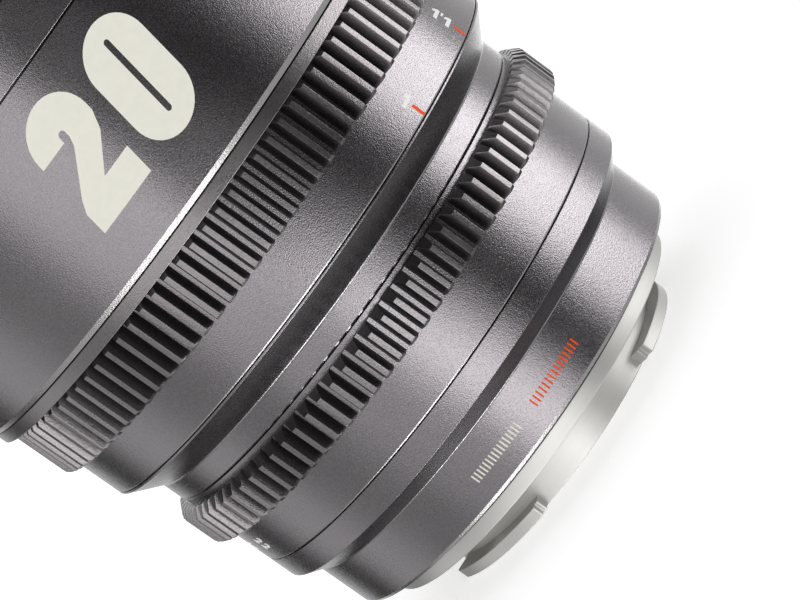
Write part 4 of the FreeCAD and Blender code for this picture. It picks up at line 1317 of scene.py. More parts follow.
@dataclass
class Bayonet:
    """The steel bayonet: flange, register, claws, screws and shim."""

    lens: Lens
    bore_radius: float = 17.8
    bore_edge: float = 0.15
    register_radius: float = 20.5
    register_edge: float = 0.25
    register_fillet: float = 0.05
    flange_radius: float = 28.3
    flange_edge: float = 0.25
    flange_back_edge: float = 0.12
    spigot_radius: float = 26.4
    shim_gap: float = 0.1
    shim_radius: float = 29.6
    claw_radius: float = 23.1
    claw_root: float = 20.2
    claw_span: float = 50.0
    claw_low: float = -5.0
    claw_high: float = -3.4
    claw_edge: float = 0.14
    claw_edge_lean: float = 0.5
    claw_edge_steps: int = 2
    claw_edge_profile: float = 0.5
    claw_step: float = 1.5
    notch_span: float = 3.0
    notch_radius: float = 22.2
    claw_middles: tuple[float, ...] = (-48.0, 64.0, 187.0)
    screw_circle: float = 25.2
    screw_angles: tuple[float, ...] = (110.0, 200.0, 290.0, 380.0)
    head_radius: float = 1.8
    head_gap: float = 0.1
    head_low: float = 0.1
    head_seat: float = 1.5
    head_edge: float = 0.18
    socket_radius: float = 0.75
    socket_depth: float = 1.0
    socket_sides: int = 6
    lock_circle: float = 26.0
    lock_radius: float = 1.6
    lock_depth: float = 1.6
    lock_angle: float = 150.0
    drill_reach: float = 1.0

    def build(self) -> None:
        """Makes every piece of the bayonet."""
        self.flange()
        for number, middle in enumerate(self.claw_middles):
            self.claw(number + 1, middle, notch_first=number > 0)
        self.screws()
        self.shim()

    def drilled(
        self,
        mesh: bpy.types.Mesh,
        radius: float,
        depth: float,
        circle: float,
        angles: Sequence[float],
    ) -> bpy.types.Mesh:
        """Drills upright holes into the mount from behind.

        Args:
            mesh: The mount, in metres.
            radius: The holes' radius.
            depth: How far they go past the flange plane.
            circle: Radius of the circle that they stand on.
            angles: Their places round it.

        Returns:
            A plain mesh.
        """
        drill = moved(rod(radius, -self.drill_reach, depth), circle, 0.0)
        return self.lens.bench.bored(mesh, self.lens.repeated(drill, angles))

    def flange(self) -> None:
        """Flange and register cylinder, drilled for the screws and the camera's lock pin."""
        low, top = heights("bayonet_mount")
        back = heights("mount_shim")[0]
        corners = [
            Corner(self.bore_radius, low, self.bore_edge),
            Corner(self.register_radius, low, self.register_edge),
            Corner(self.register_radius, 0.0, self.register_fillet),
            Corner(self.flange_radius, 0.0, self.flange_edge),
            Corner(self.flange_radius, back, self.flange_back_edge),
            Corner(self.spigot_radius, back), Corner(self.spigot_radius, top),
            Corner(self.bore_radius, top),
        ]
        bench = self.lens.bench
        mesh = bench.mesh(Turning(corners).build(), "mount")
        hole = self.head_radius + self.head_gap
        mesh = self.drilled(mesh, hole, self.head_seat, self.screw_circle, self.screw_angles)
        mesh = self.drilled(
            mesh, self.lock_radius, self.lock_depth, self.lock_circle, (self.lock_angle,)
        )
        bench.seat(
            "bayonet_shell", bench.polished(mesh), Body.HOUSING, Slot.STAINLESS,
            self.lens.finishes.steel, ["bayonet_mount"],
        )

    def claw_outline(self, middle: float, notch_first: bool) -> list[Pair]:
        """Points round a claw, seen along the axis.

        Args:
            middle: Angle of its middle.
            notch_first: Whether the notch is at its lower angle.

        Returns:
            Radius and angle of each point.
        """
        start, end = middle - self.claw_span / 2.0, middle + self.claw_span / 2.0
        reach = self.notch_span / 2.0
        if notch_first:
            bend = start + reach
            outer = [(self.notch_radius, start, bend), (self.claw_radius, bend, end)]
        else:
            bend = end - reach
            outer = [(self.claw_radius, start, bend), (self.notch_radius, bend, end)]
        places = []
        for radius, first, last in (*outer, (self.claw_root, end, start)):
            steps = max(1, round(abs(last - first) / self.claw_step))
            places += [
                (radius, first + (last - first) * step / steps) for step in range(steps + 1)
            ]
        return places

    def claw(self, number: int, middle: float, notch_first: bool) -> None:
        """One claw with a notch at one end.

        Args:
            number: The claw's number.
            middle: Angle of its middle.
            notch_first: Whether the notch is at its lower angle.
        """
        places = self.claw_outline(middle, notch_first)
        shape = bmesh.new()
        rings = [
            [shape.verts.new(around(radius, angle, height)) for radius, angle in places]
            for height in (self.claw_low, self.claw_high)
        ]
        lower, upper = rings
        for ring in rings:
            shape.faces.new(ring)
        for index in range(len(places)):
            after = (index + 1) % len(places)
            shape.faces.new((lower[index], lower[after], upper[after], upper[index]))
        bmesh.ops.recalc_face_normals(shape, faces=shape.faces)
        crisp = [
            edge for edge in shape.edges
            if edge.calc_face_angle() > self.claw_edge_lean
            and min(vert.co.xy.length for vert in edge.verts) > self.register_radius
        ]
        bmesh.ops.bevel(
            shape, geom=crisp, offset=self.claw_edge, segments=self.claw_edge_steps,
            profile=self.claw_edge_profile, affect="EDGES",
        )
        mesh = self.lens.bench.polished(self.lens.bench.mesh(shape, "claw"))
        self.lens.bench.seat(
            "bayonet_claw_%d" % number, mesh, Body.HOUSING, Slot.STAINLESS,
            self.lens.finishes.steel,
        )

    def screws(self) -> None:
        """Four sunk screws with hexagon sockets."""
        bench = self.lens.bench
        head = rod(self.head_radius, self.head_low, self.head_seat, self.head_edge)
        socket = rod(
            self.socket_radius, -self.socket_depth, self.socket_depth, segments=self.socket_sides
        )
        head = bench.bored(bench.mesh(head, "screw"), bench.mesh(socket, "socket"))
        shape = bmesh.new()
        shape.from_mesh(head)
        bmesh.ops.scale(shape, vec=(1.0 / MM, 1.0 / MM, 1.0 / MM), verts=shape.verts)
        heads = self.lens.repeated(moved(shape, self.screw_circle, 0.0), self.screw_angles)
        bench.seat(
            "mount_screw_heads", bench.polished(heads), Body.HOUSING, Slot.BRIGHT_SCREWS,
            self.lens.finishes.bright_screw, ["mount_screws"],
        )

    def shim(self) -> None:
        """Thin dark ring between the flange and the barrel."""
        low, high = heights("mount_shim")
        inner, outer = self.spigot_radius + self.shim_gap, self.shim_radius
        corners = [
            Corner(inner, low), Corner(outer, low), Corner(outer, high), Corner(inner, high)
        ]
        self.lens.turn(
            "shim_ring", corners, Body.HOUSING, Slot.SPRING_STEEL, self.lens.finishes.shim,
            ["mount_shim"],
        )


@dataclass
class ApertureRing:
    """The aperture ring with its gear."""

    lens: Lens
    bore: float = 33.0
    band_radius: float = 35.0
    gear_low: float = 23.65
    gear_high: float = 29.75
    teeth: int = 91
    first_angle: float = 34.0
    rear_chamfer: Pair = (0.40, 0.40)
    front_chamfer: Pair = (1.1, 1.1)
    floor_rounding: float = 0.1
    edge: float = 0.12

    def build(self) -> None:
        """Makes the band and the teeth."""
        low, high = heights("aperture_ring")
        low, high = low - SEAM_CLOSE, high + SEAM_CLOSE
        rim = GearRim(
            self.teeth, self.gear_low, self.gear_high, self.first_angle,
            self.rear_chamfer, self.front_chamfer,
        )
        corners = [
            Corner(self.bore, low), *bright_edge(self.band_radius, low),
            Corner(self.band_radius, self.gear_low),
            Corner(rim.root(), self.gear_low, self.floor_rounding),
            Corner(rim.root(), self.gear_high, self.floor_rounding),
            Corner(self.band_radius, self.gear_high), Corner(self.band_radius, high, self.edge),
            Corner(self.bore, high),
        ]
        self.lens.turn(
            "aperture_band", corners, Body.APERTURE_ROTOR, Slot.ANODISED,
            self.lens.finishes.anodised, ["aperture_ring"],
        )
        self.lens.gear("aperture_teeth", rim, Body.APERTURE_ROTOR)


@dataclass
class Neck:
    """The fixed neck between the two rings."""

    lens: Lens
    bore: float = 33.0
    neck_radius: float = 35.1
    neck_top: float = 33.85
    neck_rounding: float = 0.6
    skirt_radius: float = 39.0
    skirt_rounding: float = 0.1
    rim_height: float = 0.28
    rim_rounding: float = 0.08

    def build(self) -> None:
        """Makes the neck with its sloping skirt."""
        low, high = heights("index_collar")
        low, high = low - SEAM_CLOSE, high + SEAM_CLOSE
        corners = [
            Corner(self.bore, low), *bright_edge(self.neck_radius, low),
            Corner(self.neck_radius, self.neck_top, self.neck_rounding),
            Corner(self.skirt_radius, high - self.rim_height, self.skirt_rounding),
            Corner(self.skirt_radius, high, self.rim_rounding), Corner(self.bore, high),
        ]
        self.lens.turn(
            "neck_shell", corners, Body.HOUSING, Slot.ANODISED, self.lens.finishes.anodised,
            ["index_collar"], self.lens.grub_holes("neck_lock_screws"),
        )


@dataclass
class FocusRing:
    """The focus ring with its gear and front collar."""

    lens: Lens
    bore: float = 35.6
    band_radius: float = 39.0
    gear_low: float = 44.55
    gear_high: float = 53.05
    teeth: int = 100
    first_angle: float = 33.2
    floor_rounding: float = 0.02
    floor_edge: float = 0.05
    collar_radius: float = 42.0
    collar_rear_edge: float = 0.12
    collar_front_edge: float = 0.15

    def build(self) -> None:
        """Makes the band, the teeth and the collar."""
        self.band()
        self.collar()

    def band(self) -> None:
        """The scale's band with the teeth ahead of it."""
        low, high = heights("focus_ring")
        low = low - SEAM_CLOSE
        rim = GearRim(self.teeth, self.gear_low, self.gear_high, self.first_angle)
        corners = [
            Corner(self.bore, low), *bright_edge(self.band_radius, low),
            Corner(self.band_radius, self.gear_low),
            Corner(rim.root(), self.gear_low, self.floor_rounding),
            Corner(rim.root(), high, self.floor_edge), Corner(self.bore, high),
        ]
        self.lens.turn(
            "focus_band", corners, Body.FOCUS_ROTOR, Slot.ANODISED, self.lens.finishes.anodised,
            ["focus_ring"],
        )
        self.lens.gear("focus_teeth", rim, Body.FOCUS_ROTOR)

    def collar(self) -> None:
        """The smooth collar between the teeth and the front barrel."""
        low, high = heights("focus_collar")
        high = high + SEAM_CLOSE
        corners = [
            Corner(self.bore, low), Corner(self.collar_radius, low, self.collar_rear_edge),
            Corner(self.collar_radius, high, self.collar_front_edge), Corner(self.bore, high),
        ]
        self.lens.turn(
            "focus_collar_shell", corners, Body.FOCUS_ROTOR, Slot.ANODISED,
            self.lens.finishes.gear, ["focus_collar"],
        )


@dataclass
class FrontEnd:
    """The large front barrel, the front ring with its filter thread, and the bezel."""

    lens: Lens
    radius: float = 42.46
    chamfer: float = 0.7
    edge: float = 0.15
    inner_radius: float = 39.44
    clamp_radius: float = 40.9
    clamp_depth: float = 2.9
    ring_bore: float = 39.6
    ring_foot: float = 40.8
    ring_step: float = 0.2
    ring_rounding: float = 0.5
    lip: float = 0.4
    lip_rounding: float = 0.08
    filter_radius: float = 40.6
    filter_low: float = 82.2
    filter_edge: float = 0.05
    floor_edge: float = 0.1
    filter_pitch: float = 0.75
    filter_turns: float = 4.0
    filter_ridge: float = 0.3
    filter_lead: float = 0.9
    bezel_inner: float = 35.6
    bezel_foot: float = 38.4
    bezel_radius: float = 39.3
    bezel_low: float = 73.0
    bezel_shoulder: float = 77.0
    bezel_top: float = 81.6
    bezel_ledge: float = 1.0
    bezel_steps: int = 8
    step_radius: float = 38.9
    step_taper: float = 3.0
    step_slope: float = 0.12
    step_edge: float = 0.05

    def build(self) -> None:
        """Makes the barrel, the front ring, its thread and the bezel."""
        self.barrel()
        self.ring()
        self.thread()
        self.bezel()

    def barrel(self) -> None:
        """Smooth barrel with a chamfer at its rear edge."""
        low, high = heights("front_barrel")
        low, high = low - SEAM_CLOSE, high + SEAM_CLOSE
        foot = high - self.clamp_depth
        corners = [
            Corner(self.inner_radius, low), *bright_edge(self.radius, low, self.chamfer),
            Corner(self.radius, high, self.edge), Corner(self.clamp_radius, high),
            Corner(self.clamp_radius, foot), Corner(self.inner_radius, foot),
        ]
        self.lens.turn(
            "front_barrel_shell", corners, Body.HOUSING, Slot.ANODISED,
            self.lens.finishes.anodised, ["front_barrel"],
        )

    def ring(self) -> None:
        """Front ring with the filter thread's bore."""
        low, high = heights("front_ring")
        seam = heights("front_barrel")[1] + self.ring_step - SEAM_CLOSE
        corners = [
            Corner(self.ring_bore, low), Corner(self.ring_foot, low),
            Corner(self.ring_foot, seam), Corner(self.radius, seam, self.edge),
            Corner(self.radius, high, self.ring_rounding),
            Corner(self.filter_radius + self.lip, high, self.lip_rounding),
            Corner(self.filter_radius, high - self.lip, self.filter_edge),
            Corner(self.filter_radius, self.filter_low, self.filter_edge),
            Corner(self.ring_bore, self.filter_low, self.floor_edge),
        ]
        self.lens.turn(
            "front_ring_shell", corners, Body.HOUSING, Slot.ANODISED,
            self.lens.finishes.anodised, ["front_ring"],
        )

    def thread(self) -> None:
        """The filter thread's ridge."""
        finish = self.lens.finishes.anodised
        rise = self.filter_turns * self.filter_pitch
        sizes = {
            "Radius": self.filter_radius, "Pitch": self.filter_pitch, "Ridge": self.filter_ridge,
            "Low": heights("front_ring")[1] - self.filter_lead - rise,
        }
        ridge = self.lens.thread.run(
            self.lens.bench, bpy.data.meshes.new("thread"), Turns=self.filter_turns,
            Finish=finish, **{name: size * MM for name, size in sizes.items()},
        )
        self.lens.bench.seat("filter_thread", ridge, Body.HOUSING, Slot.ANODISED, finish)

    def bezel(self) -> None:
        """Ribbed black ring round the front glass."""
        drop = (self.bezel_top - self.bezel_low - self.bezel_ledge) / self.bezel_steps
        corners = [
            Corner(self.bezel_inner, self.bezel_low), Corner(self.bezel_foot, self.bezel_low),
            Corner(self.bezel_radius, self.bezel_shoulder),
            Corner(self.bezel_radius, self.bezel_top),
        ]
        for number in range(self.bezel_steps):
            radius = self.step_radius - self.step_taper * number / self.bezel_steps
            height = self.bezel_top - drop * number
            foot = height - drop + self.step_slope
            corners += [Corner(radius, height, self.step_edge), Corner(radius, foot)]
        self.lens.turn(
            "front_bezel_shell", corners, Body.HOUSING, Slot.BLACK_INNER,
            self.lens.finishes.black, ["front_bezel"],
        )


@dataclass(frozen=True)
class Element:
    """One glass element. A curve is positive where its centre lies below its vertex."""

    node: str
    body: Body
    rim: float
    top: float
    top_curve: float
    bottom: float
    bottom_curve: float
    reach: float = 0.0
    steps: int = 18

    def surface(self, vertex: float, curve: float, reach: float) -> list[Corner]:
        """Points of a spherical surface from the axis to its reach.

        Args:
            vertex: Height of the surface on the axis.
            curve: Signed radius of the sphere.
            reach: Radius at which the surface ends.

        Returns:
            Corners of the section.
        """
        corners = []
        for step in range(self.steps + 1):
            radius = reach * step / self.steps
            fall = curve - math.copysign(math.sqrt(curve * curve - radius * radius), curve)
            corners.append(Corner(radius, vertex - fall))
        return corners

    def section(self) -> list[Corner]:
        """The whole section, from the lower vertex round the rim to the upper one.

        Returns:
            Its corners in order.
        """
        lower = self.surface(self.bottom, self.bottom_curve, self.reach or self.rim)
        upper = self.surface(self.top, self.top_curve, self.rim)
        flat = [Corner(self.rim, lower[-1].height)] if self.reach else []
        return lower + flat + upper[::-1]


@dataclass
class Optics:
    """Every glass element, with true spherical surfaces."""

    lens: Lens
    elements: tuple[Element, ...] = (
        Element("front_element", Body.HOUSING, 37.0, 81.8, 62.0, 78.3, 31.0, 26.0),
        Element("second_element", Body.HOUSING, 27.0, 71.8, 45.0, 69.3, 20.0, 17.0),
        Element("third_element", Body.HOUSING, 18.0, 56.3, -60.0, 54.8, 80.0, 15.5),
        Element("focus_front_element", Body.FOCUS_GROUP, 14.0, 48.0, 40.0, 44.2, -60.0, 13.0),
        Element("focus_rear_element", Body.FOCUS_GROUP, 12.5, 41.05, -90.0, 39.6, 55.0, 11.5),
        Element("rear_front_element", Body.HOUSING, 11.8, 20.6, 30.0, 13.6, -18.0),
        Element("rear_flint_element", Body.HOUSING, 11.8, 13.58, -18.0, 11.6, 70.0),
        Element("rear_element", Body.HOUSING, 12.55, 4.6, 34.0, 0.6, -90.0),
    )

    def build(self) -> None:
        """Makes each element."""
        bench = self.lens.bench
        for element in self.elements:
            mesh = bench.mesh(Turning(element.section(), GLASS_SEGMENTS).build(), element.node)
            bench.seat(
                element.node + "_glass", bench.polished(mesh), element.body, Slot.GLASS,
                self.lens.finishes.glass, [element.node],
            )


@dataclass
class Scales:
    """Painted figures and lines: distances, stops, index lines, large numerals, graduations.

    A place is given by its radius, lower end and upper end, and a row of graduations by its
    number of lines, the angle of the first and the step to the next.
    """

    lens: Lens
    proud: float = 0.02
    sunk: float = 0.06
    figure_height: float = 2.1
    figure_gap: float = 0.24
    digit_height: float = 0.70
    digit_weight: float = 0.036
    digit_steps: int = 6
    same_point: float = 0.0001
    same_plane: float = 0.00001
    one: tuple[Pair, ...] = (
        (0.26, 0.0), (0.58, 0.0), (0.58, 1.0), (0.34, 1.0), (0.0, 0.80), (0.0, 0.56), (0.26, 0.68),
    )
    inch_mark: tuple[Pair, ...] = ((0.03, 0.62), (0.17, 0.62), (0.22, 1.0), (0.0, 1.0))
    distance_narrow: float = 0.80
    stop_narrow: float = 0.66
    index_angle: float = -135.0
    index_places: tuple[tuple[float, float, float], ...] = ((35.0, 13.5, 16.5), (35.1, 31.0, 33.5))
    focus_radius: float = 39.0
    focus_text_end: float = 40.35
    focus_line: Pair = (37.95, 39.8)
    line_width: float = 0.45
    distances: tuple[tuple[str, float], ...] = (
        ("1", 1.0), ("1'1", 1.1), ("1'3", 1.25), ("1'6", 1.5), ("2", 2.0), ("3", 3.0), ("5", 5.0),
        ("10", 10.0), ("8", math.inf),
    )
    focus_far_angle: float = 225.0
    focus_near_limit: float = 0.3
    focus_spread: float = 134.0
    stop_radius: float = 35.0
    stops: tuple[str, ...] = ("2.1", "2.8", "4", "5.6", "8", "11", "16", "22")
    stop_step: float = 9.0
    stop_heights: Pair = (19.2, 21.0)
    barrel_radius: float = 42.46
    numeral_foot: float = 61.05
    numeral_width: float = 9.2
    numeral_bend: float = 11.0
    numeral_slant: float = 0.185
    arc_steps: int = 20
    two_left: float = -11.95
    two_foot: tuple[Pair, ...] = (
        (0.0, 0.35), (9.2, 0.35), (9.2, 4.3), (4.8, 4.3), (8.3, 7.9), (9.2, 10.0),
    )
    two_end: tuple[Pair, ...] = ((0.0, 10.3), (4.1, 10.3))
    two_slit: float = 0.5
    two_neck: tuple[Pair, ...] = ((5.1, 10.3), (4.7, 9.2), (0.8, 4.7), (0.0, 3.3))
    zero_left: float = -0.7
    zero_slit: float = 0.4
    zero_slit_ends: Pair = (2.95, 13.0)
    tick_radius: float = 32.3
    tick_low: float = 6.05
    tick_width: float = 0.22
    tick_length: float = 1.3
    orange_row: tuple[int, float, float] = (15, 2.0, 16.0 / 14.0)
    pale_row: tuple[int, float, float] = (16, -19.0, 1.0)

    def build(self) -> None:
        """Paints every scale."""
        self.distance_scale()
        self.stop_scale()
        self.index_lines()
        self.numerals()
        self.graduations()

    def glyph(self, sign: str, narrow: float) -> bmesh.types.BMesh:
        """One flat sign of the scales' height, its lower left corner at zero.

        Args:
            sign: The sign.
            narrow: Factor on its width.

        Returns:
            A flat shape in millimetres.
        """
        drawn = {"1": self.one, "'": self.inch_mark}
        if sign in drawn:
            shape = self.filled([drawn[sign]])
            size = self.figure_height
        else:
            curve = bpy.data.curves.new("figure", "FONT")
            curve.body = sign
            curve.offset = self.digit_weight
            curve.resolution_u = self.digit_steps
            scratch = self.lens.bench.loose(curve, "scratch")
            shape = bmesh.new()
            shape.from_mesh(self.lens.bench.evaluated(scratch))
            bmesh.ops.remove_doubles(shape, verts=shape.verts, dist=self.same_point)
            lows = [min(vert.co[axis] for vert in shape.verts) for axis in (0, 1)]
            bmesh.ops.translate(shape, vec=(-lows[0], -lows[1], 0.0), verts=shape.verts)
            size = self.figure_height / self.digit_height
        bmesh.ops.scale(shape, vec=(size * narrow, size, 1.0), verts=shape.verts)
        return shape

    def figures(self, text: str, narrow: float, sideways: bool = False) -> bmesh.types.BMesh:
        """A row of flat signs, its left end and middle height at zero.

        Args:
            text: What they say.
            narrow: Factor on their width.
            sideways: Whether the row is laid on its side.

        Returns:
            A flat shape in millimetres.
        """
        row = bmesh.new()
        reach = 0.0
        for sign in text:
            shape = self.glyph(sign, narrow)
            bmesh.ops.translate(shape, vec=(reach, 0.0, 0.0), verts=shape.verts)
            reach = max(vert.co.x for vert in shape.verts) + self.figure_gap
            self.gather(row, shape)
        shift = (0.0, -self.figure_height / 2.0, 0.0)
        if sideways:
            quarter = Matrix.Rotation(math.radians(90.0), 3, "Z")
            bmesh.ops.rotate(row, matrix=quarter, verts=row.verts)
            shift = (self.figure_height, -(reach - self.figure_gap) / 2.0, 0.0)
        bmesh.ops.translate(row, vec=shift, verts=row.verts)
        return row

    def gather(self, whole: bmesh.types.BMesh, shape: bmesh.types.BMesh) -> None:
        """Adds a shape to another one.

        Args:
            whole: The shape that grows.
            shape: The shape that goes into it and is freed.
        """
        mesh = bpy.data.meshes.new("film")
        shape.to_mesh(mesh)
        shape.free()
        whole.from_mesh(mesh)
        bpy.data.meshes.remove(mesh)

    def filled(self, loops: Sequence[Sequence[Pair]]) -> bmesh.types.BMesh:
        """Fills closed loops.

        Args:
            loops: The outline, and then any holes in it.

        Returns:
            A flat shape.
        """
        shape = bmesh.new()
        edges = []
        for loop in loops:
            points = [shape.verts.new((x, y, 0.0)) for x, y in loop]
            edges += [shape.edges.new(ends) for ends in zip([points[-1], *points], points)]
        bmesh.ops.triangle_fill(shape, use_beauty=True, use_dissolve=False, edges=edges)
        return shape

    def painted(
        self,
        shape: bmesh.types.BMesh,
        radius: float,
        angle: float,
        height: float,
        reading: Reading = Reading.ROUND,
    ) -> bmesh.types.BMesh:
        """Wraps a flat shape on a ring as a thin closed film.

        Args:
            shape: The flat shape, in millimetres.
            radius: Radius of the ring.
            angle: Where its zero goes round the ring.
            height: Where its zero goes along the axis.
            reading: Which way its own X axis runs.

        Returns:
            The same shape.
        """
        along = reading is Reading.ALONG
        across = Vector((0.0, 1.0, 0.0)) if along else Vector((1.0, 0.0, 0.0))
        ends = [vert.co.dot(across) for vert in shape.verts]
        for step in range(math.ceil(min(ends)), math.floor(max(ends)) + 1):
            bmesh.ops.bisect_plane(
                shape, geom=[*shape.verts, *shape.edges, *shape.faces], dist=self.same_plane,
                plane_co=across * step, plane_no=across,
            )
        flat = list(shape.verts)
        made = bmesh.ops.extrude_face_region(shape, geom=list(shape.faces), use_keep_orig=True)
        for item in made["geom"]:
            if isinstance(item, bmesh.types.BMVert):
                item.co.z = self.proud
        for vert in flat:
            vert.co.z = -self.sunk
        for vert in shape.verts:
            x, y, depth = vert.co
            arc, rise = (y, -x) if along else (x, y)
            vert.co = around(radius + depth, angle + math.degrees(arc / radius), height + rise)
        bmesh.ops.recalc_face_normals(shape, faces=shape.faces)
        return shape

    def bar(self, width: float, length: float) -> bmesh.types.BMesh:
        """Flat bar in millimetres, centred across and standing on zero."""
        half = width / 2.0
        return self.filled([[(-half, 0.0), (half, 0.0), (half, length), (-half, length)]])

    def seat(
        self,
        name: str,
        shapes: Sequence[bmesh.types.BMesh],
        body: Body,
        slot: Slot,
        finish: bpy.types.Material,
    ) -> None:
        """Joins films into one piece and seats it.

        Args:
            name: The piece's name.
            shapes: The films, in millimetres. They are used up.
            body: The body that it moves with.
            slot: The record's material slot.
            finish: Its paint.
        """
        whole = bmesh.new()
        for shape in shapes:
            self.gather(whole, shape)
        self.lens.bench.seat(name, self.lens.bench.mesh(whole, name), body, slot, finish)

    def distance_scale(self) -> None:
        """Distances on the focus ring, reading towards the rear, each with its line."""
        radius = self.focus_radius
        low, high = self.focus_line
        figures = []
        lines = []
        for text, distance in self.distances:
            far = math.isinf(distance)
            spread = 0.0 if far else self.focus_spread / (distance - self.focus_near_limit)
            angle = self.focus_far_angle - spread
            shape = self.figures(text, self.distance_narrow, sideways=far)
            start = self.focus_text_end + max(vert.co.x for vert in shape.verts)
            figures.append(self.painted(shape, radius, angle, start, Reading.ALONG))
            line = self.bar(self.line_width, high - low)
            lines.append(self.painted(line, radius, angle, low))
        finishes = self.lens.finishes
        self.seat("distance_figures", figures, Body.FOCUS_ROTOR, Slot.WASHER, finishes.white)
        self.seat("distance_lines", lines, Body.FOCUS_ROTOR, Slot.BEAD, finishes.orange)

    def stop_scale(self) -> None:
        """Stops on the aperture ring, centred on their band."""
        shapes = []
        for number, text in enumerate(self.stops):
            shape = self.figures(text, self.stop_narrow)
            length = max(vert.co.x for vert in shape.verts)
            angle = self.index_angle + self.stop_step * number
            start = sum(self.stop_heights) / 2.0 + length / 2.0
            shapes.append(self.painted(shape, self.stop_radius, angle, start, Reading.ALONG))
        white = self.lens.finishes.white
        self.seat("stop_figures", shapes, Body.APERTURE_ROTOR, Slot.WASHER, white)

    def index_lines(self) -> None:
        """Fixed index lines on the rear collar and on the neck."""
        shapes = [
            self.painted(self.bar(self.line_width, high - low), radius, self.index_angle, low)
            for radius, low, high in self.index_places
        ]
        self.seat("index_lines", shapes, Body.HOUSING, Slot.WASHER, self.lens.finishes.white)

    def arc(self, x: float, y: float, radius: float, start: float, end: float) -> list[Pair]:
        """Points on an arc.

        Args:
            x: Its centre, across.
            y: Its centre, upwards.
            radius: Its radius.
            start: Degrees of its first point.
            end: Degrees of its last point.

        Returns:
            The points in order.
        """
        steps = self.arc_steps
        turns = [math.radians(start + (end - start) * step / steps) for step in range(steps + 1)]
        return [(x + radius * math.cos(turn), y + radius * math.sin(turn)) for turn in turns]

    def slanted(self, loop: Sequence[Pair], left: float) -> list[Pair]:
        """Leans an outline of a numeral and moves it to its place from angle 0."""
        return [(left + x + y * self.numeral_slant, y) for x, y in loop]

    def numerals(self) -> None:
        """The two large oblique numerals, with straight strokes and round ends."""
        half = self.numeral_width / 2.0
        arch = self.arc(half, self.numeral_bend, half, 0.0, 180.0)
        slit = self.arc(half, self.numeral_bend, self.two_slit, 180.0, 0.0)
        two = [*self.two_foot, *arch, *self.two_end, *slit, *self.two_neck]
        zero = [*self.arc(half, half, half, 180.0, 360.0), *arch]
        low, high = self.zero_slit_ends
        hole = [
            *self.arc(half, low, self.zero_slit, 180.0, 360.0),
            *self.arc(half, high, self.zero_slit, 0.0, 180.0),
        ]
        shapes = []
        for left, loops in ((self.two_left, (two,)), (self.zero_left, (zero, hole))):
            flat = self.filled([self.slanted(loop, left) for loop in loops])
            shapes.append(self.painted(flat, self.barrel_radius, 0.0, self.numeral_foot))
        self.seat("large_numerals", shapes, Body.HOUSING, Slot.WASHER, self.lens.finishes.cream)

    def graduations(self) -> None:
        """Plain graduations on the rear barrel, in two colours."""
        bench = self.lens.bench
        finishes = self.lens.finishes
        rows = (
            ("orange_graduations", self.orange_row, Slot.BEAD, finishes.orange),
            ("pale_graduations", self.pale_row, Slot.WASHER, finishes.cream),
        )
        for name, (count, first, step), slot, finish in rows:
            line = self.bar(self.tick_width, self.tick_length)
            line = self.painted(line, self.tick_radius, 0.0, self.tick_low)
            unit = bench.mesh(line, name)
            mesh = self.lens.array.spread(bench, unit, count, first, step, finish)
            bench.seat(name, mesh, Body.HOUSING, slot, finish)


@dataclass
class Inside:
    """Everything that keeps its CAD shape inside the lens."""

    lens: Lens

    def build(self) -> None:
        """Dresses every CAD node by the record's own slot."""
        by_slot = {slot.value: finish for slot, finish in self.lens.finishes.by_slot().items()}
        for subpart in frame["record"]["subparts"]:
            self.lens.bench.dress(subpart["node"], by_slot[subpart["material_slot"]])


@dataclass(frozen=True)
class Softbox:
    """A rectangular studio lamp that faces the lens, in metres. Only gloss sees it."""

    name: str
    azimuth: float
    elevation: float
    distance: float
    width: float
    height: float
    radiance: float


@dataclass(frozen=True)
class Card:
    """A black card round the lens between two edges, each a radius and a height.

    Only gloss sees it.
    """

    name: str
    start: float
    end: float
    first_edge: Pair
    second_edge: Pair


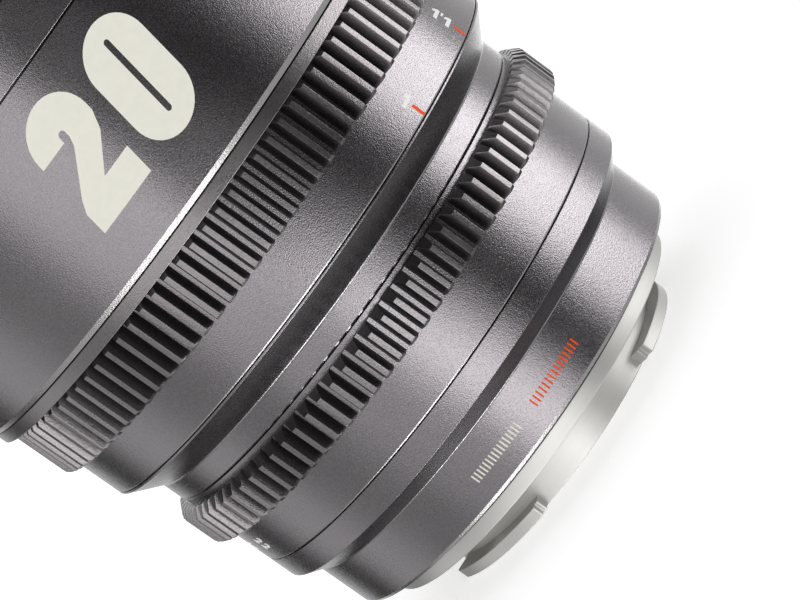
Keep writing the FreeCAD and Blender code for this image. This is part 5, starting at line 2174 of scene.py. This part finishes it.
@dataclass
class Studio:
    """Floor, backdrop, lamps, black cards and camera."""

    bench: Bench
    camera_roll: float = 215.54
    camera_elevation: float = 9.15
    focal_pixels: float = 3500.0
    seam_height: float = 16.85
    seam_distance: float = 452.9
    seam_pixel: Pair = (424.4, 334.9)
    image_size: tuple[int, int] = (800, 600)
    sensor_width: float = 36.0
    clip: Pair = (0.01, 20.0)
    floor_size: float = 6.0
    floor_colours: tuple[Colour, Colour] = ((0.80, 0.80, 0.80), (0.84, 0.84, 0.84))
    floor_glow: Colour = (0.45, 0.45, 0.45)
    floor_grain: float = 40.0
    card_colours: tuple[Colour, Colour] = ((0.01, 0.01, 0.01), (0.02, 0.02, 0.02))
    card_grain: float = 500.0
    card_steps: int = 24
    matt: float = 0.9
    target_height: float = 40.0
    ambient: float = 0.95
    lamps: tuple[Softbox, ...] = (
        Softbox("key_lamp", 80.0, -9.0, 0.60, 0.46, 0.14, 10.5),
        Softbox("side_lamp", 120.0, -5.0, 0.60, 0.60, 0.36, 0.30),
        Softbox("back_lamp", 172.0, -8.0, 0.60, 0.34, 0.30, 1.2),
        Softbox("front_lamp", -1.0, -5.0, 0.60, 0.20, 0.36, 6.6),
        Softbox("left_lamp", -28.0, -5.0, 0.60, 0.50, 0.36, 0.9),
        Softbox("brow_lamp", -28.0, 9.0, 0.16, 0.09, 0.08, 1.6),
        Softbox("foot_lamp", 13.0, -23.0, 0.174, 0.045, 0.05, 4.5),
        Softbox("low_lamp", -100.0, -5.0, 0.60, 0.32, 0.36, 0.9),
        Softbox("under_lamp", -29.0, -57.0, 0.50, 0.42, 0.08, 12.0),
    )
    cards: tuple[Card, ...] = (
        Card("right_card", 24.0, 52.0, (420.0, -310.0), (420.0, 390.0)),
        Card("left_card", -144.0, -119.0, (420.0, -310.0), (420.0, 390.0)),
        Card("near_card", -8.0, 42.0, (150.0, 25.0), (150.0, 250.0)),
        Card("upper_card", 0.0, 360.0, (4.0, 340.0), (500.0, 340.0)),
        Card("rear_card", 115.0, 245.0, (50.0, -400.0), (560.0, -385.0)),
    )

    def build(self, floor_height: float) -> None:
        """Sets up the studio.

        Args:
            floor_height: Height of the floor, in millimetres.
        """
        self.world()
        self.floor(floor_height)
        for card in self.cards:
            self.card(card)
        for lamp in self.lamps:
            self.lamp(lamp)
        self.camera()
        bpy.context.scene.view_settings.view_transform = "Standard"

    def world(self) -> None:
        """White backdrop, with a weaker light on diffuse surfaces."""
        world = bpy.data.worlds.new("studio")
        bpy.context.scene.world = world
        world.use_nodes = True
        world.node_tree.nodes.clear()
        kit = NodeKit(world.node_tree)
        strength = kit.backdrop_rays() * (1.0 - self.ambient) + self.ambient
        sockets = {"Color": (*WHITE, 1.0), "Strength": strength}
        back = kit.add("ShaderNodeBackground", sockets=sockets)
        kit.add("ShaderNodeOutputWorld", sockets={"Surface": back.outputs[0]})

    def floor_finish(self) -> bpy.types.Material:
        """The floor's material: pale from above and clear from below, where the mount shows.

        Returns:
            The material.
        """
        recipe = Recipe("pale_floor")
        grain = recipe.noise(self.floor_grain, detail=3.0)
        recipe.set(
            Base_Color=recipe.tint(grain, *self.floor_colours),
            Roughness=self.matt,
            Emission_Color=recipe.tint(recipe.backdrop_rays(), BLACK, self.floor_glow),
            Emission_Strength=1.0,
        )
        sockets = {
            0: recipe.add("ShaderNodeNewGeometry").outputs["Backfacing"],
            1: recipe.surface.outputs[0],
            2: recipe.add("ShaderNodeBsdfTransparent").outputs[0],
        }
        one_sided = recipe.add("ShaderNodeMixShader", sockets=sockets)
        output = recipe.tree.nodes["Material Output"]
        recipe.join(one_sided.outputs[0], output.inputs["Surface"])
        return recipe.material

    def floor(self, height: float) -> None:
        """Adds the floor, which keeps the lens's shadow.

        Args:
            height: Its height, in millimetres.
        """
        shape = bmesh.new()
        half = self.floor_size / 2.0 / MM
        bmesh.ops.create_grid(shape, x_segments=1, y_segments=1, size=half)
        bmesh.ops.translate(shape, vec=(0.0, 0.0, height), verts=shape.verts)
        mesh = self.bench.mesh(shape, "floor")
        mesh.materials.append(self.floor_finish())
        floor = self.bench.loose(mesh, "floor")
        floor.visible_glossy = False
        floor.visible_shadow = False

    def card(self, card: Card) -> None:
        """Adds a black card.

        Args:
            card: Its name and sizes.
        """
        shape = bmesh.new()
        columns = []
        for step in range(self.card_steps + 1):
            angle = card.start + (card.end - card.start) * step / self.card_steps
            columns.append([
                shape.verts.new(around(reach, angle, height))
                for reach, height in (card.first_edge, card.second_edge)
            ])
        for left, right in zip(columns, columns[1:]):
            shape.faces.new((left[0], right[0], right[1], left[1]))
        mesh = self.bench.mesh(shape, "black_card")
        recipe = Recipe("card_black")
        fibre = recipe.noise(self.card_grain)
        recipe.set(Base_Color=recipe.tint(fibre, *self.card_colours), Roughness=self.matt)
        mesh.materials.append(recipe.material)
        item = self.bench.loose(mesh, card.name)
        item.visible_camera = False
        item.visible_diffuse = False
        item.visible_transmission = False
        item.visible_shadow = False

    def lamp(self, box: Softbox) -> None:
        """Adds a softbox.

        Args:
            box: Its name, place, sizes and radiance.
        """
        data = bpy.data.lights.new(box.name, "AREA")
        data.shape = "RECTANGLE"
        data.size = box.width
        data.size_y = box.height
        data.energy = box.radiance * math.pi * box.width * box.height
        lamp = self.bench.loose(data, box.name)
        target = Vector((0.0, 0.0, self.target_height * MM))
        reach = box.distance * math.cos(math.radians(box.elevation)) / MM
        rise = box.distance * math.sin(math.radians(box.elevation)) / MM
        lamp.location = around(reach, box.azimuth, self.target_height + rise) * MM
        lamp.rotation_euler = (lamp.location - target).to_track_quat("Z", "Y").to_euler()
        lamp.visible_camera = False
        lamp.visible_diffuse = False

    def camera(self) -> None:
        """Camera at the photograph's viewing angle, from the fitted view of one seam."""
        roll = math.radians(self.camera_roll)
        tilt = math.radians(self.camera_elevation)
        level = math.cos(tilt)
        axis = Vector((level * math.cos(roll), level * math.sin(roll), -math.sin(tilt)))
        towards = Vector((0.0, 0.0, -1.0))
        front = (towards - axis * towards.dot(axis)).normalized()
        lens_x = axis.cross(front)
        lens_y = -front
        offsets = [
            (pixel - size / 2.0) / self.focal_pixels
            for pixel, size in zip(self.seam_pixel, self.image_size)
        ]
        seam = Vector((*offsets, 1.0)) * self.seam_distance
        place = Vector((0.0, 0.0, self.seam_height))
        place -= Vector([side.dot(seam) for side in (lens_x, lens_y, axis)])
        right, down, ahead = (Vector(parts) for parts in zip(lens_x, lens_y, axis))
        turn = Matrix((right, -down, -ahead)).transposed()
        data = bpy.data.cameras.new("camera")
        data.sensor_width = self.sensor_width
        data.lens = self.focal_pixels * self.sensor_width / self.image_size[0]
        data.clip_start, data.clip_end = self.clip
        camera = self.bench.loose(data, "camera")
        camera.matrix_world = Matrix.Translation(place * MM) @ turn.to_4x4()
        bpy.context.scene.camera = camera


def main() -> None:
    """Dresses the lens and sets up the studio."""
    logging.basicConfig(level=logging.INFO, format="%(name)s %(message)s")
    bench = Bench(frame["nodes"])
    lens = Lens(bench, Finishes())
    Inside(lens).build()
    for part in (RearEnd, Bayonet, ApertureRing, Neck, FocusRing, FrontEnd, Optics, Scales):
        part(lens).build()
        LOG.info("%s done", part.__name__)
    Studio(bench).build(heights("bayonet_mount")[0])
    LOG.info("%d new pieces", bench.made)


if __name__ == "__main__":
    main()
